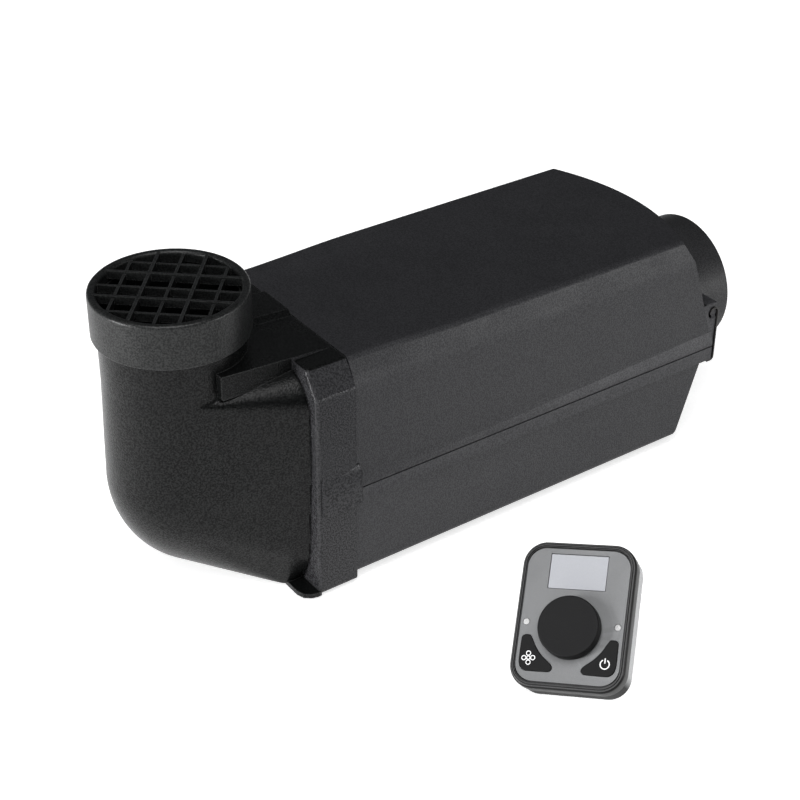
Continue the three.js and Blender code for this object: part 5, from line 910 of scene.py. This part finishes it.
def arc(centre, radius, start, end, count):
    turns = [rad(start + (end - start) * i / count) for i in range(count + 1)]
    return [(centre[0] + radius * math.cos(a), centre[1] + radius * math.sin(a)) for a in turns]


def power_sign():
    x, y, half = 21.4, -25.9, 0.31
    ring = ribbon(arc((x, y), 2.55, 90 + 28, 90 + 332, 40), 2 * half, KEY_TOP, SIGN_TOP)
    return join(ring, block(x - half, x + half, y + 0.5, y + 3.4, KEY_TOP, SIGN_TOP))


def fan_sign():
    x, y = -22.2, -25.4
    hub = ribbon(circle(0.95, 28, (x, y)), 0.46, KEY_TOP, SIGN_TOP, closed=True)
    leaves = []
    for k in range(4):
        a = rad(90 * k + 4)
        centre = (x + 2.55 * math.cos(a), y + 2.55 * math.sin(a))
        leaves.append(ribbon(circle(1.22, 28, centre), 0.5, KEY_TOP, SIGN_TOP, closed=True))
    return join(hub, *leaves)


def bracket():
    """The wedge that the controller leans on, open to the rear."""
    def behind(up, depth):
        return (
            up * math.cos(TILT) - depth * math.sin(TILT),
            controller_height() + up * math.sin(TILT) + depth * math.cos(TILT),
        )

    seat, wall, w = BACK_FLOOR - GAP, 2.4, 18.0
    low, high = behind(-20, seat), behind(22, seat)
    rear = low[0] + 44
    inner_low, inner_high = behind(-18, seat - wall), behind(28, seat - wall)
    outer = prism([(low[0], 0), (rear, 0), (high[0] + 2, high[1] - 1), high, low], "x", -w, w)
    room = prism([
        (inner_low[0], wall), (rear + 10, wall), (rear + 10, inner_high[1]), inner_high, inner_low
    ], "x", -w + wall, w - wall)
    holes = [rod("z", 2.25, -1, wall + 1, (side * 9, rear - 10), 40) for side in (1, -1)]
    return cut(outer, room, *holes)


down = -(FACE.to_3x3() @ Vector((0, 1, 0))).normalized()
inward = -(FACE.to_3x3() @ Vector((0, 0, 1))).normalized()
# Painted shade: the housing is painted darker on faces turned down.
shell_grey = material("housing_plastic", (0.48, 0.485, 0.49), 0.5, grain=0.00001, wear_and_edge_highlight=0.1, mottle=0.04,
                      specular=0.15, shade=(down, 0.0, 0.5))
# Painted shade: the knob cap is painted darker on its side wall.
knob_black = material("knob_cap_plastic", (0.0125, 0.0125, 0.013), 0.5, grain=0.00001, grain_size=0.0003,
                      specular=0.1, shade=(inward, -0.95, -0.3))
# Painted highlight and painted shade: the rim's top ring keeps a paler grey as painted highlight, and its walls
# are painted darker as painted shade.
rim_black = material("rim_plastic", (0.07, 0.07, 0.071), 0.35, grain=0.000004, spread=0.04, specular=0.12,
                     shade=(inward, -0.95, -0.5))
finish(bezel(), "controller_rim", "heater", ["controller_bezel"], rim_black, FACE, 0, crease=60)
finish(back_shell(), "controller_rear_housing", "heater", ["controller_back"], shell_grey, FACE, 0,
       crease=60)
finish(face_plate(), "controller_fascia", "heater", ["controller_face_plate"], LOOK["face"], FACE, 0.15,
       40, 2)
finish(knob(), "control_knob_cap", "knob", ["control_knob"], knob_black, FACE, 0, crease=60)
for side, body, node in ((-1, "fan_key", "fan_button"), (1, "power_key", "power_button")):
    key = prism(button_outline(side, 0), "z", -3, KEY_TOP)
    finish(key, node + "_cap", body, [node], LOOK["button"], FACE, 0.3, 40, 3)
finish(fan_sign(), "fan_sign", "fan_key", [], LOOK["print"], FACE, 0)
finish(power_sign(), "power_sign", "power_key", [], LOOK["print"], FACE, 0)
screen = prism(rounded(*LCD_SIZE, 0.4, (0, LCD_Y), 4), "z", -1.2, -0.2)
finish(screen, "display_glass", "heater", ["display_window"], LOOK["display"], FACE, 0.12, 40, 2)
for side, name in ((-1, "left"), (1, "right")):
    lens = turned([(0, -4), (1.8, -4), (1.8, -0.05), (1.65, 0.1), (1.2, 0.2), (0.6, 0.26), (0, 0.28)], "z",
                  (side * LENS_X, LENS_Y), 64)
    finish(lens, "status_light_" + name, "heater", ["status_lens_" + name], LOOK["lens"], FACE, 0,
           crease=60)
finish(bracket(), "controller_stand", "heater", ["controller_bracket"], LOOK["grey"], STAND, 0.5, 30, 3)

# ---------------------------------------------------------------- floor, light and camera
FLOOR_REACH, FLOOR_Z = 40, -0.0003
FLOOR_GLOW, FLOOR_GLOW_SEEN = 0.5, 0.7


def floor():
    """White paper that glows a little, and a little more where it is seen directly than in reflections."""
    bm = bmesh.new()
    for x, y in ((-1, -1), (1, -1), (1, 1), (-1, 1)):
        bm.verts.new((x * FLOOR_REACH, y * FLOOR_REACH, FLOOR_Z))
    bm.faces.new(bm.verts)
    obj = new_object(bm, "floor")
    mat = material("floor_paper", (0.8, 0.8, 0.8), 0.9, grain=0.00004, grain_size=0.0015, mottle=0.006, patch=0.4)
    shader = mat.node_tree.nodes["Principled BSDF"]
    shader.inputs["Emission Color"].default_value = (1, 1, 1, 1)
    tree = mat.node_tree
    seen = tree.nodes.new("ShaderNodeLightPath")
    glow = tree.nodes.new("ShaderNodeMapRange")
    glow.inputs["To Min"].default_value = FLOOR_GLOW
    glow.inputs["To Max"].default_value = FLOOR_GLOW_SEEN
    tree.links.new(seen.outputs["Is Camera Ray"], glow.inputs["Value"])
    tree.links.new(glow.outputs["Result"], shader.inputs["Emission Strength"])
    obj.data.materials.append(mat)
    obj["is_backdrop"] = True


floor()


def panel(name, place, target, size, power):
    """A white area light, its size in metres and its power in watts."""
    data = bpy.data.lights.new(name, "AREA")
    data.shape, data.size, data.size_y = "RECTANGLE", *size
    data.energy = power
    obj = bpy.data.objects.new(name, data)
    obj.location = place
    obj.rotation_mode = "QUATERNION"
    obj.rotation_quaternion = (Vector(target) - Vector(place)).to_track_quat("-Z", "Y")
    scene.collection.objects.link(obj)


panel("overhead", (0.8, -0.7, 2.0), (0.1, -0.1, 0), (1.8, 1.8), 41)
panel("side", (1.5, 1.1, 0.24), (0, -0.05, 0.1), (0.6, 0.42), 11)
panel("front_strip", (-0.12, -1.4, 0.3), (0, -0.2, 0.1), (0.16, 0.6), 17)

world = bpy.data.worlds.new("studio")
scene.world = world
world.use_nodes = True
world.node_tree.nodes["Background"].inputs["Color"].default_value = (0.9, 0.92, 0.95, 1)
world.node_tree.nodes["Background"].inputs["Strength"].default_value = 0.1

# The camera that was solved from the photo.
CAMERA_PLACE, FOCAL_LENGTH = (0.7702, -0.5764, 0.6758), 79.27
pitch, azimuth, roll = rad(32.807), rad(54.349), rad(0.463)
right = Vector((math.cos(azimuth), math.sin(azimuth), 0))
back = Vector((math.sin(azimuth) * math.cos(pitch), -math.cos(azimuth) * math.cos(pitch), math.sin(pitch)))
up = back.cross(right)
across = right * math.cos(roll) + up * math.sin(roll)
above = up * math.cos(roll) - right * math.sin(roll)
data = bpy.data.cameras.new("camera")
data.lens, data.sensor_width = FOCAL_LENGTH, 36
data.clip_start, data.clip_end = 0.05, 200
camera = bpy.data.objects.new("camera", data)
scene.collection.objects.link(camera)
turn = Matrix((across, above, back)).transposed().to_4x4()
camera.matrix_world = Matrix.Translation(CAMERA_PLACE) @ turn
scene.camera = camera
scene.view_settings.view_transform = "Standard"
scene.view_settings.look = "None"

low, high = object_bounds()
